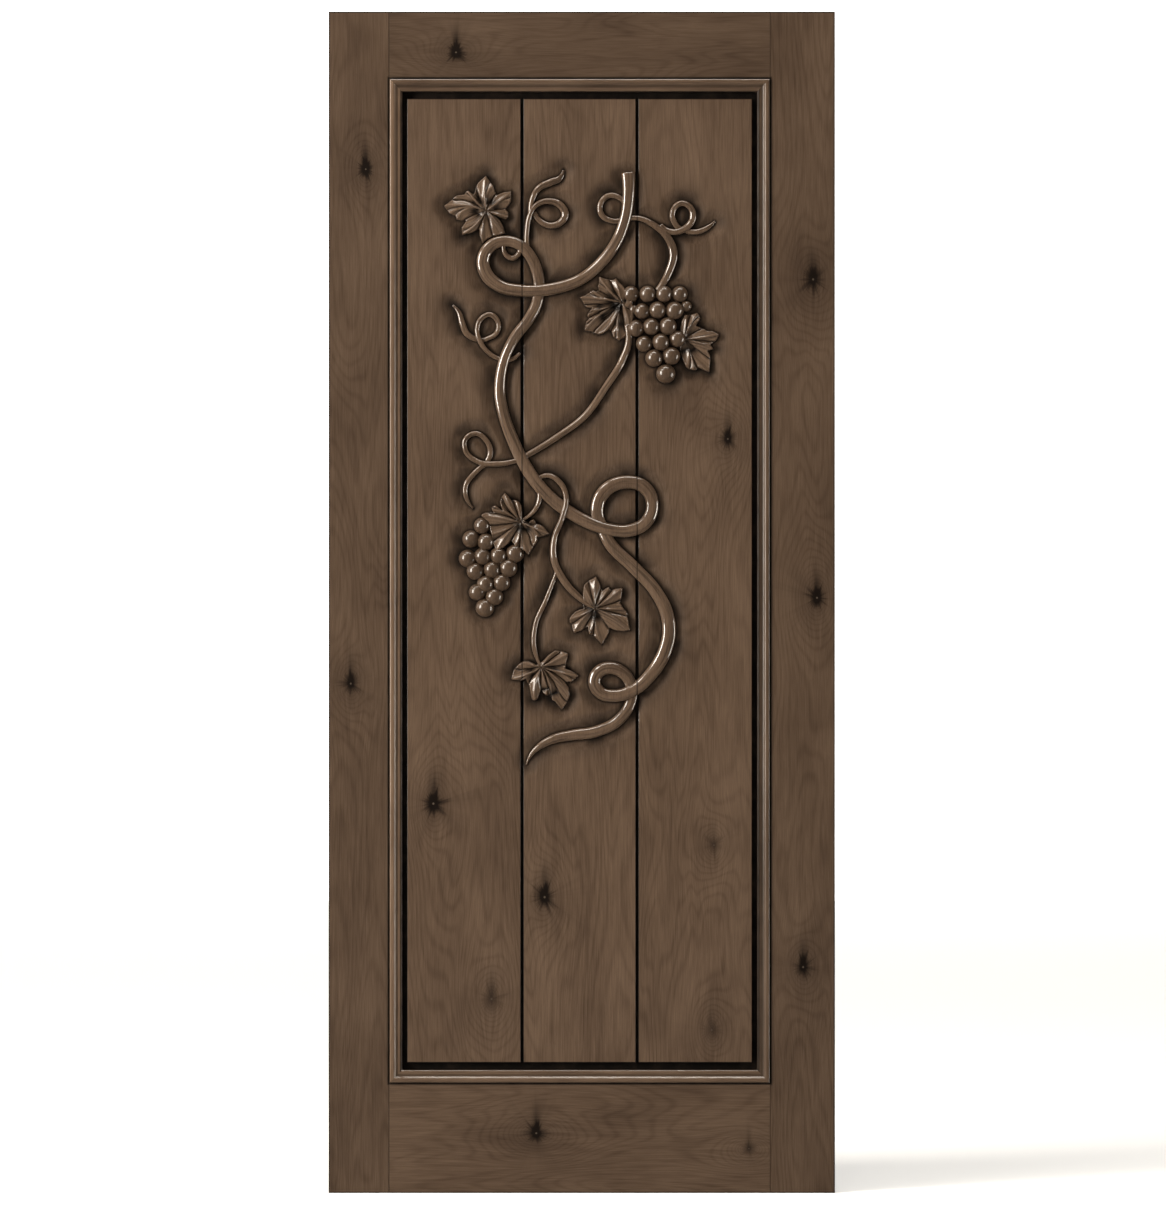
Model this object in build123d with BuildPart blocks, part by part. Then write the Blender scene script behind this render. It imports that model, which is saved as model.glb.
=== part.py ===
from build123d import *
from math import cos, radians, sin
import os

# Wine cellar door leaf with a carved grapevine, in millimetres.
# X runs from the hinge edge to the latch edge, Z up from the foot, and the
# carved face looks towards -Y. The leaf is centred on Y = 0.

# Driving dimensions.
leaf_width = 914.4
leaf_height = 2133.6
leaf_thickness = 44.45
left_stile_width = 109.2
right_stile_width = 117.0
top_rail_width = 120.9
bottom_rail_width = 198.4
arris = 1.2                       # eased long edges of the stiles

tongue_thickness = 12.4           # edge of the plank panel, held in the grooves
groove_depth = 12.0
groove_play = 2.0                 # room for the panel to swell
tenon_length = 60.0
tenon_setback = 18.0

field_side_margin = 32.4          # opening edge to the raised plank field
field_top_margin = 36.1
field_foot_margin = 36.9
field_step = 5.0                  # plank faces lie this far below the stiles
slot_width = 4.8                  # shadow line between two planks
slot_depth = 8.0
plank_tongue = 6.0
plank_tongue_length = 8.0

moulding_width = 23.5
moulding_rise = 4.5               # highest bead above the stile face
moulding_lip = 4.5                # inner lip below the stile face

ground_depth = 5.0                # carved ground below the plank face
ground_slope = 20.0               # sloped edge of the carved ground
# The rises of the carving are those of a leaf of this size.
stem_height = 12.0                # rise of a stem above the carved ground
under_height = 7.0                # rise of a stem where it dives under another
grape_sides = 10
bed_height = 5.0                  # low bed that joins the grapes of a bunch
leaf_edge = 5.0                   # rise of a leaf at its toothed edge
leaf_ridge = 8.5                  # rise of a leaf along the middle of each lobe
raised_leaf = 5.5                 # how much higher the leaf over the lower bunch lies

# Places worked out from them.
half = leaf_thickness / 2
opening_left = left_stile_width
opening_right = leaf_width - right_stile_width
opening_foot = bottom_rail_width
opening_top = leaf_height - top_rail_width
field_left = opening_left + field_side_margin
field_right = opening_right - field_side_margin
field_foot = opening_foot + field_foot_margin
field_top = opening_top - field_top_margin
plank_width = (field_right - field_left) / 3
joint_1 = field_left + plank_width
joint_2 = field_right - plank_width
plank_face = half - field_step
ground = plank_face - ground_depth
reach = groove_depth - groove_play


def block(x0, x1, y0, y1, z0, z1, mode=Mode.ADD):
    """Add or cut a plain block between six planes."""
    with Locations(((x0 + x1) / 2, (y0 + y1) / 2, (z0 + z1) / 2)):
        Box(x1 - x0, y1 - y0, z1 - z0, mode=mode)


def ease_long_edges(part):
    """Take the sharp arris off the four outer long edges of an upright member."""
    upright = part.edges().filter_by(Axis.Z)
    outer = upright.filter_by(lambda e: abs(abs(e.center().Y) - half) < 0.01)
    chamfer(outer, arris)


def mortise(x0, x1, z0, z1):
    block(x0, x1, -tongue_thickness / 2, tongue_thickness / 2, z0, z1, Mode.SUBTRACT)


def tenon(x0, x1, z0, z1):
    block(x0, x1, -tongue_thickness / 2, tongue_thickness / 2, z0, z1)


# Stiles and rails.
top_tenon = (opening_top + tenon_setback, leaf_height - tenon_setback)
foot_tenon = (tenon_setback, opening_foot - tenon_setback)
mortise_depth = tenon_length + groove_play

with BuildPart() as left_stile:
    block(0, opening_left, -half, half, 0, leaf_height)
    ease_long_edges(left_stile)
    mortise(opening_left - groove_depth, opening_left,
            opening_foot - groove_depth, opening_top + groove_depth)
    for low, high in (foot_tenon, top_tenon):
        mortise(opening_left - mortise_depth, opening_left, low, high)

with BuildPart() as right_stile:
    block(opening_right, leaf_width, -half, half, 0, leaf_height)
    ease_long_edges(right_stile)
    mortise(opening_right, opening_right + groove_depth,
            opening_foot - groove_depth, opening_top + groove_depth)
    for low, high in (foot_tenon, top_tenon):
        mortise(opening_right, opening_right + mortise_depth, low, high)

with BuildPart() as top_rail:
    block(opening_left, opening_right, -half, half, opening_top, leaf_height)
    mortise(opening_left, opening_right, opening_top, opening_top + groove_depth)
    tenon(opening_left - tenon_length, opening_left, *top_tenon)
    tenon(opening_right, opening_right + tenon_length, *top_tenon)

with BuildPart() as bottom_rail:
    block(opening_left, opening_right, -half, half, 0, opening_foot)
    mortise(opening_left, opening_right, opening_foot - groove_depth, opening_foot)
    tenon(opening_left - tenon_length, opening_left, *foot_tenon)
    tenon(opening_right, opening_right + tenon_length, *foot_tenon)


# Mitred mouldings.
def moulding(start, along, inward, out, length):
    """One side of the panel moulding, mitred at both ends.

    start is the corner of the opening on the stile face.
    """
    start, along = Vector(*start), Vector(*along)
    inward, out = Vector(*inward), Vector(*out)
    across = Plane(origin=start, x_dir=inward, z_dir=along)
    side = 1 if across.y_dir.dot(out) > 0 else -1
    seat = half - tongue_thickness / 2
    with BuildSketch(across) as profile:
        with BuildLine():
            Line((0, -seat * side), (0, -1.5 * side))
            Line((0, -1.5 * side), (0.8, -1.5 * side))
            Line((0.8, -1.5 * side), (0.8, 1.5 * side))
            ThreePointArc((0.8, 1.5 * side), (2.2, 3.9 * side), (4.8, moulding_rise * side))
            ThreePointArc((4.8, moulding_rise * side), (7.6, 4.2 * side), (9.8, 2.8 * side))
            ThreePointArc((9.8, 2.8 * side), (12.0, 0.5 * side), (14.8, -0.6 * side))
            Line((14.8, -0.6 * side), (19.6, -1.0 * side))
            ThreePointArc((19.6, -1.0 * side), (22.3, -2.1 * side),
                          (moulding_width, -moulding_lip * side))
            Line((moulding_width, -moulding_lip * side), (moulding_width, -seat * side))
            Line((moulding_width, -seat * side), (0, -seat * side))
        make_face()
    extrude(profile.sketch, amount=length)
    far = start + along * length
    split(bisect_by=Plane(origin=start, z_dir=along - inward), keep=Keep.TOP)
    split(bisect_by=Plane(origin=far, z_dir=-along - inward), keep=Keep.TOP)


opening_width = opening_right - opening_left
opening_height = opening_top - opening_foot

with BuildPart() as front_moulding_left:
    moulding((opening_left, -half, opening_foot), (0, 0, 1), (1, 0, 0), (0, -1, 0),
             opening_height)

with BuildPart() as front_moulding_right:
    moulding((opening_right, -half, opening_foot), (0, 0, 1), (-1, 0, 0), (0, -1, 0),
             opening_height)

with BuildPart() as front_moulding_top:
    moulding((opening_left, -half, opening_top), (1, 0, 0), (0, 0, -1), (0, -1, 0),
             opening_width)

with BuildPart() as front_moulding_bottom:
    moulding((opening_left, -half, opening_foot), (1, 0, 0), (0, 0, 1), (0, -1, 0),
             opening_width)

with BuildPart() as back_moulding_left:
    moulding((opening_left, half, opening_foot), (0, 0, 1), (1, 0, 0), (0, 1, 0),
             opening_height)

with BuildPart() as back_moulding_right:
    moulding((opening_right, half, opening_foot), (0, 0, 1), (-1, 0, 0), (0, 1, 0),
             opening_height)

with BuildPart() as back_moulding_top:
    moulding((opening_left, half, opening_top), (1, 0, 0), (0, 0, -1), (0, 1, 0),
             opening_width)

with BuildPart() as back_moulding_bottom:
    moulding((opening_left, half, opening_foot), (1, 0, 0), (0, 0, 1), (0, 1, 0),
             opening_width)


# The carving is drawn for one opening, and keeps its share of any other.
drawn_opening = (688.2, 1814.3)
drawn_centre = (453.3, 1105.55)
drawn_scale = min(opening_width / drawn_opening[0], opening_height / drawn_opening[1])


def place(x, z):
    """A point of the drawn carving, on this leaf."""
    centre_x = (opening_left + opening_right) / 2
    centre_z = (opening_foot + opening_top) / 2
    east, north = x - drawn_centre[0], z - drawn_centre[1]
    return centre_x + east * drawn_scale, centre_z + north * drawn_scale


# Left and right limits of the sunk ground at falling heights.
ground_limits = [(1878, 272, 556), (1800, 172, 712), (1700, 176, 748), (1600, 184, 750),
                 (1490, 206, 742), (1385, 202, 676), (1290, 198, 664), (1150, 204, 662),
                 (1035, 226, 684), (910, 290, 668), (815, 318, 612), (742, 330, 480)]


def ground_outline(y, inset):
    """Closed curve round the carving, drawn in by inset."""
    top, foot = ground_limits[0], ground_limits[-1]
    left = [(a + inset, z) for z, a, b in ground_limits[1:-1]]
    right = [(b - inset, z) for z, a, b in ground_limits[1:-1]]
    head = [(top[2] - inset, top[0] - inset), (top[1] + inset, top[0] - inset)]
    tail = [(foot[1] + inset, foot[0] + inset), (foot[2] - inset, foot[0] + inset)]
    placed = [place(x, z) for x, z in head + left + tail + right[::-1]]
    with BuildLine() as line:
        Spline(*[(x, y, z) for x, z in placed], periodic=True)
    return Wire(line.edges())


def carved_ground():
    """The sunk ground: steep-sided near the stems, sloping up to the plank face."""
    rim = ground_outline(-plank_face, 0)
    floor = ground_outline(-ground, ground_slope)
    return Solid.make_loft([rim, floor], ruled=True)


sunk_ground = carved_ground()


# Planks.
def slot(x, z0, z1):
    """Shadow slot between two planks, front and back."""
    for face in (-plank_face, plank_face - slot_depth):
        block(x - slot_width / 2, x + slot_width / 2, face, face + slot_depth, z0, z1,
              Mode.SUBTRACT)


def plank_tongue_at(x, mode, play=0.0):
    block(x - 0.5 * play, x + plank_tongue_length + play, -plank_tongue / 2, plank_tongue / 2,
          opening_foot - reach, opening_top + reach, mode)


with BuildPart() as left_plank:
    block(field_left, joint_1, -plank_face, plank_face, field_foot, field_top)
    block(opening_left - reach, joint_1, -tongue_thickness / 2, tongue_thickness / 2,
          opening_foot - reach, opening_top + reach)
    slot(joint_1, field_foot, field_top)
    plank_tongue_at(joint_1, Mode.ADD)
    add(sunk_ground, mode=Mode.SUBTRACT)

with BuildPart() as middle_plank:
    block(joint_1, joint_2, -plank_face, plank_face, field_foot, field_top)
    block(joint_1, joint_2, -tongue_thickness / 2, tongue_thickness / 2,
          opening_foot - reach, opening_top + reach)
    slot(joint_1, field_foot, field_top)
    slot(joint_2, field_foot, field_top)
    plank_tongue_at(joint_1, Mode.SUBTRACT, 0.5)
    plank_tongue_at(joint_2, Mode.ADD)
    add(sunk_ground, mode=Mode.SUBTRACT)

with BuildPart() as right_plank:
    block(joint_2, field_right, -plank_face, plank_face, field_foot, field_top)
    block(joint_2, opening_right + reach, -tongue_thickness / 2, tongue_thickness / 2,
          opening_foot - reach, opening_top + reach)
    slot(joint_2, field_foot, field_top)
    plank_tongue_at(joint_2, Mode.SUBTRACT, 0.5)
    add(sunk_ground, mode=Mode.SUBTRACT)


# Carved stems.
def headings(points):
    """Direction of travel at each point of a curve through the points."""
    steps = [b - a for a, b in zip(points, points[1:])]
    inner = []
    for before, after in zip(steps, steps[1:]):
        inner.append((before / before.length**2 + after / after.length**2).normalized())
    first, last = steps[0].normalized(), steps[-1].normalized()
    head = first * 2 * inner[0].dot(first) - inner[0]
    tail = last * 2 * inner[-1].dot(last) - inner[-1]
    return [head, *inner, tail]


# Half of a stem's section, as shares of its width and rise.
round_section = [(0.5, 0), (0.46, 0.55), (0.22, 1)]
slim_section = [(0.5, 0), (0.3, 1)]


def stem(stations, section_shape=slim_section):
    """Half-round stem on the carved ground.

    Each station is x, z, the width there and the rise above the ground.
    """
    placed = [place(x, z) for x, z, width, rise in stations]
    points = [Vector(x, -ground, z) for x, z in placed]
    sections = []
    for point, heading, (x, z, drawn_width, rise) in zip(points, headings(points), stations):
        width, height = drawn_width * drawn_scale, rise * drawn_scale
        across = heading.cross(Vector(0, -1, 0))
        with BuildSketch(Plane(origin=point, x_dir=across, z_dir=heading)) as section:
            upright = Plane(point, x_dir=across, z_dir=heading).y_dir.Y < 0
            lift = height if upright else -height
            with BuildLine():
                right = [(u * width, v * lift) for u, v in section_shape]
                left = [(-u, v) for u, v in reversed(right)]
                Polyline(*right, *left, close=True)
            make_face()
        sections.append(section.sketch)
    loft(sections=sections)


full, dip = stem_height, under_height

with BuildPart() as main_vine:
    stem([(541, 1843, 23, full), (542, 1809, 21, full), (537, 1766, 20, full),
          (523, 1725, 20, full), (493, 1682, 20, full), (459, 1653, 20, full),
          (402, 1633, 21, full + 1), (350, 1630, 21, full), (308, 1639, 22, full),
          (284, 1661, 23, full), (279, 1688, 22, full), (294, 1712, 21, full)],
         round_section)
    stem([(294, 1712, 21, full), (321, 1720, 19, full), (346, 1712, 19, full),
          (365, 1691, 20, full), (376, 1666, 20, full - 1), (379, 1630, 20, dip)],
         round_section)
    stem([(379, 1630, 20, dip), (375, 1605, 20, full - 1), (361, 1578, 19, full),
          (337, 1547, 19, full), (320, 1514, 18, full), (311, 1480, 19, full),
          (309, 1444, 20, full), (316, 1406, 20, full), (330, 1366, 21, full),
          (353, 1317, 22, full), (377, 1281, 22, full), (412, 1246, 22, full - 2),
          (459, 1216, 22, full), (509, 1198, 22, full + 1), (540, 1196, 22, full)],
         round_section)
    stem([(540, 1196, 22, full), (573, 1211, 22, full), (585, 1241, 22, full),
          (570, 1275, 23, full), (535, 1284, 23, full), (499, 1268, 24, full),
          (485, 1238, 23, full - 1), (495, 1203, 22, dip)],
         round_section)
    stem([(495, 1203, 22, dip), (507, 1175, 22, full - 1), (550, 1131, 22, full),
          (589, 1089, 22, full), (609, 1052, 23, full), (615, 1014, 24, full),
          (606, 975, 24, full), (584, 939, 23, full), (553, 910, 22, full + 1),
          (517, 898, 22, full + 1), (489, 905, 22, full), (480, 925, 22, full)],
         round_section)
    stem([(480, 925, 22, full), (489, 942, 22, full), (510, 948, 22, full),
          (532, 939, 21, full - 1), (545, 921, 20, full - 3), (547, 901, 19, dip)],
         round_section)
    stem([(547, 901, 19, dip), (542, 878, 19, full - 1), (520, 851, 20, full),
          (482, 833, 20, full), (441, 827, 19, full), (404, 819, 16, full - 1),
          (383, 808, 12, full - 3), (366, 792, 7, 6), (357, 773, 2, 2)],
         round_section)

with BuildPart() as upper_tendril:
    stem([(358, 1705, 10, 8), (358, 1737, 9, 8), (362, 1763, 9, 8), (372, 1782, 9, 8),
          (399, 1792, 11, 8), (421, 1782, 13, 8), (427, 1766, 13, 8)])
    stem([(427, 1766, 13, 8), (418, 1753, 12, 8), (399, 1748, 11, 8), (383, 1755, 10, 6),
          (371, 1772, 8, 4)])
    stem([(364, 1768, 9, 8), (368, 1796, 10, 8), (379, 1815, 11, 8), (401, 1826, 13, 8),
          (417, 1833, 11, 6), (424, 1848, 3, 2)])
    add(main_vine.part, mode=Mode.SUBTRACT)

with BuildPart() as inner_curl:
    stem([(316, 1713, 8, 7), (317, 1701, 8, 7), (322, 1693, 9, 7), (331, 1689, 10, 8),
          (340, 1693, 9, 7), (345, 1701, 9, 7), (345, 1712, 8, 7)])
    add(main_vine.part, mode=Mode.SUBTRACT)

with BuildPart() as trunk_ring:
    stem([(537, 1784, 8, 7), (524, 1799, 9, 7), (507, 1802, 10, 7), (492, 1789, 10, 7),
          (494, 1766, 10, 7), (509, 1757, 9, 7), (533, 1759, 9, 7)])
    add(main_vine.part, mode=Mode.SUBTRACT)

with BuildPart() as upper_bunch_stalk:
    stem([(538, 1759, 9, 7), (562, 1761, 9, 8), (587, 1749, 11, 9), (611, 1728, 13, 9),
          (623, 1697, 15, 9), (615, 1665, 14, 9), (594, 1630, 11, 9)])
    add(main_vine.part, mode=Mode.SUBTRACT)

with BuildPart() as right_tendril:
    stem([(600, 1747, 8, 7), (624, 1736, 11, 8), (643, 1742, 12, 8), (658, 1762, 12, 8),
          (652, 1782, 10, 8), (637, 1788, 10, 8)])
    stem([(637, 1788, 10, 8), (622, 1774, 10, 8), (626, 1751, 10, 6), (640, 1738, 9, 4)])
    stem([(641, 1741, 9, 7), (661, 1736, 10, 7), (681, 1742, 9, 6), (698, 1756, 3, 2)])
    add(upper_bunch_stalk.part, mode=Mode.SUBTRACT)

with BuildPart() as cross_tendril:
    stem([(345, 1325, 8, 7), (303, 1317, 10, 8), (270, 1321, 9, 8), (247, 1341, 9, 8),
          (248, 1363, 9, 8), (265, 1372, 9, 8)])
    stem([(265, 1372, 9, 8), (284, 1360, 9, 8), (292, 1339, 10, 6), (285, 1317, 9, 4)])
    stem([(286, 1318, 8, 6), (262, 1299, 9, 7), (247, 1276, 9, 7), (250, 1252, 8, 6),
          (261, 1237, 2, 2)])
    add(main_vine.part, mode=Mode.SUBTRACT)

with BuildPart() as left_tendril:
    stem([(316, 1505, 7, 7), (294, 1514, 8, 8), (274, 1537, 9, 8), (268, 1560, 9, 8),
          (277, 1581, 9, 8), (291, 1587, 9, 8)])
    stem([(291, 1587, 9, 8), (305, 1575, 9, 8), (304, 1555, 9, 8), (288, 1544, 8, 6),
          (274, 1540, 8, 4)])
    stem([(271, 1542, 8, 5), (250, 1552, 11, 8), (241, 1571, 11, 8), (235, 1591, 8, 6),
          (224, 1604, 3, 2)])
    add(main_vine.part, mode=Mode.SUBTRACT)

with BuildPart() as vine_bud:
    stem([(315, 1503, 7, 7), (334, 1508, 8, 7), (345, 1518, 5, 4)])
    add(main_vine.part, mode=Mode.SUBTRACT)

with BuildPart() as looping_branch:
    stem([(373, 1285, 7, 7), (397, 1296, 9, 8), (418, 1283, 10, 9), (429, 1257, 10, 12),
          (422, 1220, 10, 14), (408, 1184, 11, 10), (407, 1144, 12, 9), (424, 1107, 13, 9),
          (451, 1077, 12, 9), (480, 1056, 6, 8)])
    add(main_vine.part, mode=Mode.SUBTRACT)

with BuildPart() as leaf_branch:
    stem([(412, 1121, 7, 7), (393, 1072, 8, 8), (374, 1028, 9, 8), (371, 986, 9, 8),
          (384, 950, 5, 8)])
    add(looping_branch.part, mode=Mode.SUBTRACT)

with BuildPart() as lower_bunch_stalk:
    stem([(343, 1213, 5, 10), (364, 1225, 7, 9), (378, 1244, 9, 8), (379, 1274, 9, 7)])
    add(main_vine.part, mode=Mode.SUBTRACT)


# Grapes.
# Each grape is x, z, radius and how far its centre stands off the ground.
upper_grapes = [(548, 1621, 14, 1), (577, 1621, 14, 2), (608, 1620, 14, 2), (637, 1621, 13, 1),
                (568, 1591, 14, 1), (594, 1592, 15, 4), (626, 1591, 15, 2), (555, 1559, 15, 1),
                (583, 1562, 14, 4), (614, 1563, 15, 3), (571, 1532, 14, 2), (600, 1535, 15, 5),
                (630, 1540, 14, 1), (588, 1505, 15, 3), (620, 1509, 15, 2), (610, 1478, 17, 1)]
lower_grapes = [(277, 1203, 15, 1), (257, 1179, 15, 1), (284, 1174, 15, 4), (251, 1144, 15, 1),
                (278, 1148, 15, 4), (306, 1149, 15, 4), (336, 1153, 16, 1), (265, 1121, 15, 2),
                (295, 1124, 15, 5), (324, 1127, 16, 2), (283, 1098, 15, 4), (312, 1101, 15, 2),
                (268, 1083, 15, 1), (299, 1075, 15, 2), (282, 1055, 16, 1)]


# Rings of one grape, as shares of its radius and of its rise above the ground.
grape_rings = [(0.97, 0), (1.0, 0.25), (0.84, 0.63), (0.5, 0.9), (0.14, 1.0)]


def bunch(grapes, bed):
    """Round grapes, each a dome of flat facets, run together over a low bed."""
    with BuildSketch(Plane.XZ.offset(ground)) as outline:
        with BuildLine():
            Polyline(*[place(x, z) for x, z in bed], close=True)
        make_face()
    extrude(outline.sketch, amount=bed_height * drawn_scale)
    for drawn_x, drawn_z, drawn_radius, stand in grapes:
        x, z = place(drawn_x, drawn_z)
        radius = drawn_radius * drawn_scale
        rise = radius + stand * drawn_scale
        sections = []
        for share, height in grape_rings:
            seat = Plane(origin=(x, -ground - height * rise, z), z_dir=(0, -1, 0))
            with BuildSketch(seat) as ring:
                RegularPolygon(radius * share, grape_sides)
            sections.append(ring.sketch)
        loft(sections=sections, ruled=True)


with BuildPart() as grape_bunches:
    bunch(upper_grapes, [(548, 1621), (637, 1621), (626, 1591), (630, 1540), (610, 1478),
                         (588, 1505), (571, 1532), (555, 1559)])
    bunch(lower_grapes, [(277, 1203), (336, 1153), (324, 1127), (312, 1101), (282, 1055),
                         (268, 1083), (251, 1144), (257, 1179)])
    add(upper_bunch_stalk.part, mode=Mode.SUBTRACT)

# The branch that comes out from behind the upper bunch.
with BuildPart() as cross_branch:
    stem([(539, 1568, 11, 9), (542, 1538, 12, 9), (530, 1503, 13, 9), (502, 1458, 12, 9),
          (462, 1403, 12, 9), (411, 1365, 11, 9), (348, 1327, 10, 8)])
    add(main_vine.part, mode=Mode.SUBTRACT)
    add(grape_bunches.part, mode=Mode.SUBTRACT)


# Leaves.
def leaf(hub, lobes, raised=0.0):
    """Vine leaf: toothed lobes round a hub, each ridged along its middle.

    Each lobe is its angle from +X, its length and its half width. raised is how much
    higher than the others the leaf lies.
    """
    hub_x, hub_z = place(*hub)
    edge, ridge = (leaf_edge + raised) * drawn_scale, (leaf_ridge + raised) * drawn_scale
    for angle, length, side in lobes:
        toothed = [(0, 0.25), (0.44, 1.0), (0.68, 0.58), (1, 0)]
        base = [(u * length * drawn_scale, v * side * drawn_scale) for u, v in toothed]
        base += [(u, -v) for u, v in base[-2::-1]]
        crest = [((0.05 + 0.7 * u), 0.2 * v) for u, v in base]
        turn = radians(angle)
        sections = []
        for points, rise in ((base, 0), (base, edge), (crest, ridge)):
            seat = Plane(origin=(hub_x, -ground - rise, hub_z),
                         x_dir=(cos(turn), 0, sin(turn)), z_dir=(0, -1, 0))
            with BuildSketch(seat) as section:
                with BuildLine():
                    Polyline(*points, close=True)
                make_face()
            sections.append(section.sketch)
        loft(sections=sections, ruled=True)
    with Locations(Plane(origin=(hub_x, -ground, hub_z), z_dir=(0, -1, 0))):
        Cylinder(7 * drawn_scale, ridge, align=(Align.CENTER, Align.CENTER, Align.MIN))


with BuildPart() as upper_left_leaf:
    leaf((285, 1772), [(91, 64, 17), (38, 56, 14), (-14, 42, 10), (-50, 54, 13),
                       (-97, 58, 12), (-135, 61, 14), (174, 78, 17), (131, 50, 10)])
    add(main_vine.part, mode=Mode.SUBTRACT)

with BuildPart() as upper_bunch_left_leaf:
    leaf((529, 1609), [(131, 64, 13), (103, 46, 10), (173, 76, 17), (218, 85, 18),
                       (-93, 70, 13), (-70, 62, 11), (-110, 60, 12)])
    add(grape_bunches.part, mode=Mode.SUBTRACT)
    add(cross_branch.part, mode=Mode.SUBTRACT)

with BuildPart() as upper_bunch_right_leaf:
    leaf((642, 1541), [(64, 54, 12), (10, 64, 14), (-20, 52, 12), (-52, 76, 14),
                       (-75, 58, 11)])
    add(grape_bunches.part, mode=Mode.SUBTRACT)

with BuildPart() as lower_bunch_leaf:
    leaf((347, 1212), [(118, 60, 14), (88, 38, 9), (-23, 57, 13), (-77, 62, 13),
                       (-103, 46, 10), (-129, 68, 14), (171, 73, 16)], raised_leaf)
    add(lower_bunch_stalk.part, mode=Mode.SUBTRACT)

with BuildPart() as centre_leaf:
    leaf((481, 1056), [(88, 58, 14), (36, 62, 14), (2, 50, 11), (-32, 76, 15), (-79, 67, 15),
                       (-130, 60, 13), (-160, 50, 10)])
    add(looping_branch.part, mode=Mode.SUBTRACT)

with BuildPart() as foot_leaf:
    leaf((384, 950), [(50, 42, 10), (26, 56, 11), (-14, 70, 14), (-64, 86, 15),
                      (-106, 63, 13), (-156, 59, 13), (168, 40, 10)])
    add(leaf_branch.part, mode=Mode.SUBTRACT)

with grape_bunches:
    add(lower_bunch_leaf.part, mode=Mode.SUBTRACT)


# Export.
pieces = {
    "left_stile": left_stile,
    "right_stile": right_stile,
    "top_rail": top_rail,
    "bottom_rail": bottom_rail,
    "front_moulding_left": front_moulding_left,
    "front_moulding_right": front_moulding_right,
    "front_moulding_top": front_moulding_top,
    "front_moulding_bottom": front_moulding_bottom,
    "back_moulding_left": back_moulding_left,
    "back_moulding_right": back_moulding_right,
    "back_moulding_top": back_moulding_top,
    "back_moulding_bottom": back_moulding_bottom,
    "left_plank": left_plank,
    "middle_plank": middle_plank,
    "right_plank": right_plank,
    "main_vine": main_vine,
    "upper_tendril": upper_tendril,
    "inner_curl": inner_curl,
    "trunk_ring": trunk_ring,
    "upper_bunch_stalk": upper_bunch_stalk,
    "right_tendril": right_tendril,
    "left_tendril": left_tendril,
    "vine_bud": vine_bud,
    "cross_branch": cross_branch,
    "cross_tendril": cross_tendril,
    "looping_branch": looping_branch,
    "leaf_branch": leaf_branch,
    "lower_bunch_stalk": lower_bunch_stalk,
    "grape_bunches": grape_bunches,
    "upper_left_leaf": upper_left_leaf,
    "upper_bunch_left_leaf": upper_bunch_left_leaf,
    "upper_bunch_right_leaf": upper_bunch_right_leaf,
    "lower_bunch_leaf": lower_bunch_leaf,
    "centre_leaf": centre_leaf,
    "foot_leaf": foot_leaf,
}
os.makedirs("parts", exist_ok=True)
for name, piece in pieces.items():
    piece.part.label = name
    export_step(piece.part, f"parts/{name}.step")
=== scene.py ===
"""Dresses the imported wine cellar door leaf: carved planks, vine, leaves, grapes and stain."""
import math

import bpy
import numpy as np
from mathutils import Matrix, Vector, geometry


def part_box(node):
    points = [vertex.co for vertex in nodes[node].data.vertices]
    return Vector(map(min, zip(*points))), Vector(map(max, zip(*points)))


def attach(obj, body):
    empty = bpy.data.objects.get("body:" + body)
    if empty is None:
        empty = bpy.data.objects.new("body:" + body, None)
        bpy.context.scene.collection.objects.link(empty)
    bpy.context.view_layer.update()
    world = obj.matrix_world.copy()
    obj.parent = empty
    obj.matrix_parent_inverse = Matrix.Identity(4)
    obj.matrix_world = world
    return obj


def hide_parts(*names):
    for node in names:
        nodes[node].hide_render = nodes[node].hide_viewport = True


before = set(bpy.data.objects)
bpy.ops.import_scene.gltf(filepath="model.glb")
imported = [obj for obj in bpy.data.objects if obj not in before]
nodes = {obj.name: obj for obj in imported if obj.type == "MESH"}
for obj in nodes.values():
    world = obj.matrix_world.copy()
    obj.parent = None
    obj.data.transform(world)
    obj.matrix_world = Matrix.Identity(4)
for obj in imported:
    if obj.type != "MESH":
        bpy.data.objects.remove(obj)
scene = bpy.context.scene
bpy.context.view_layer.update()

# Places read from the frame, in metres.
MM = 0.001
opening_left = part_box("left_stile")[1].x
opening_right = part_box("right_stile")[0].x
opening_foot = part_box("bottom_rail")[1].z
opening_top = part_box("top_rail")[0].z
leaf_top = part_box("top_rail")[1].z
leaf_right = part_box("right_stile")[1].x
front_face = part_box("left_stile")[0].y
plank_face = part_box("left_plank")[0].y
back_face = -plank_face

# The ground is the sunk face that the carving stands on.
ground_depth = 5  # millimetres below the planks' face
ground = plank_face + ground_depth * MM
seat = 1.5 * MM  # how far stems and grapes go into the ground

# The field is the face of the three planks. A moulding and a shadow gap lie round it.
side_margin = 32.4 * MM
foot_margin = 36.9 * MM
top_margin = 36.1 * MM
field_left = opening_left + side_margin
field_right = opening_right - side_margin
field_foot = opening_foot + foot_margin
field_top = opening_top - top_margin
plank_width = (field_right - field_left) / 3
joint_1 = field_left + plank_width
joint_2 = field_right - plank_width
half_slot = 2.4 * MM  # half the shadow slot between two planks
tongue = 6.2 * MM  # half the thickness of the tongues
moulding_width = 23.5 * MM

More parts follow.
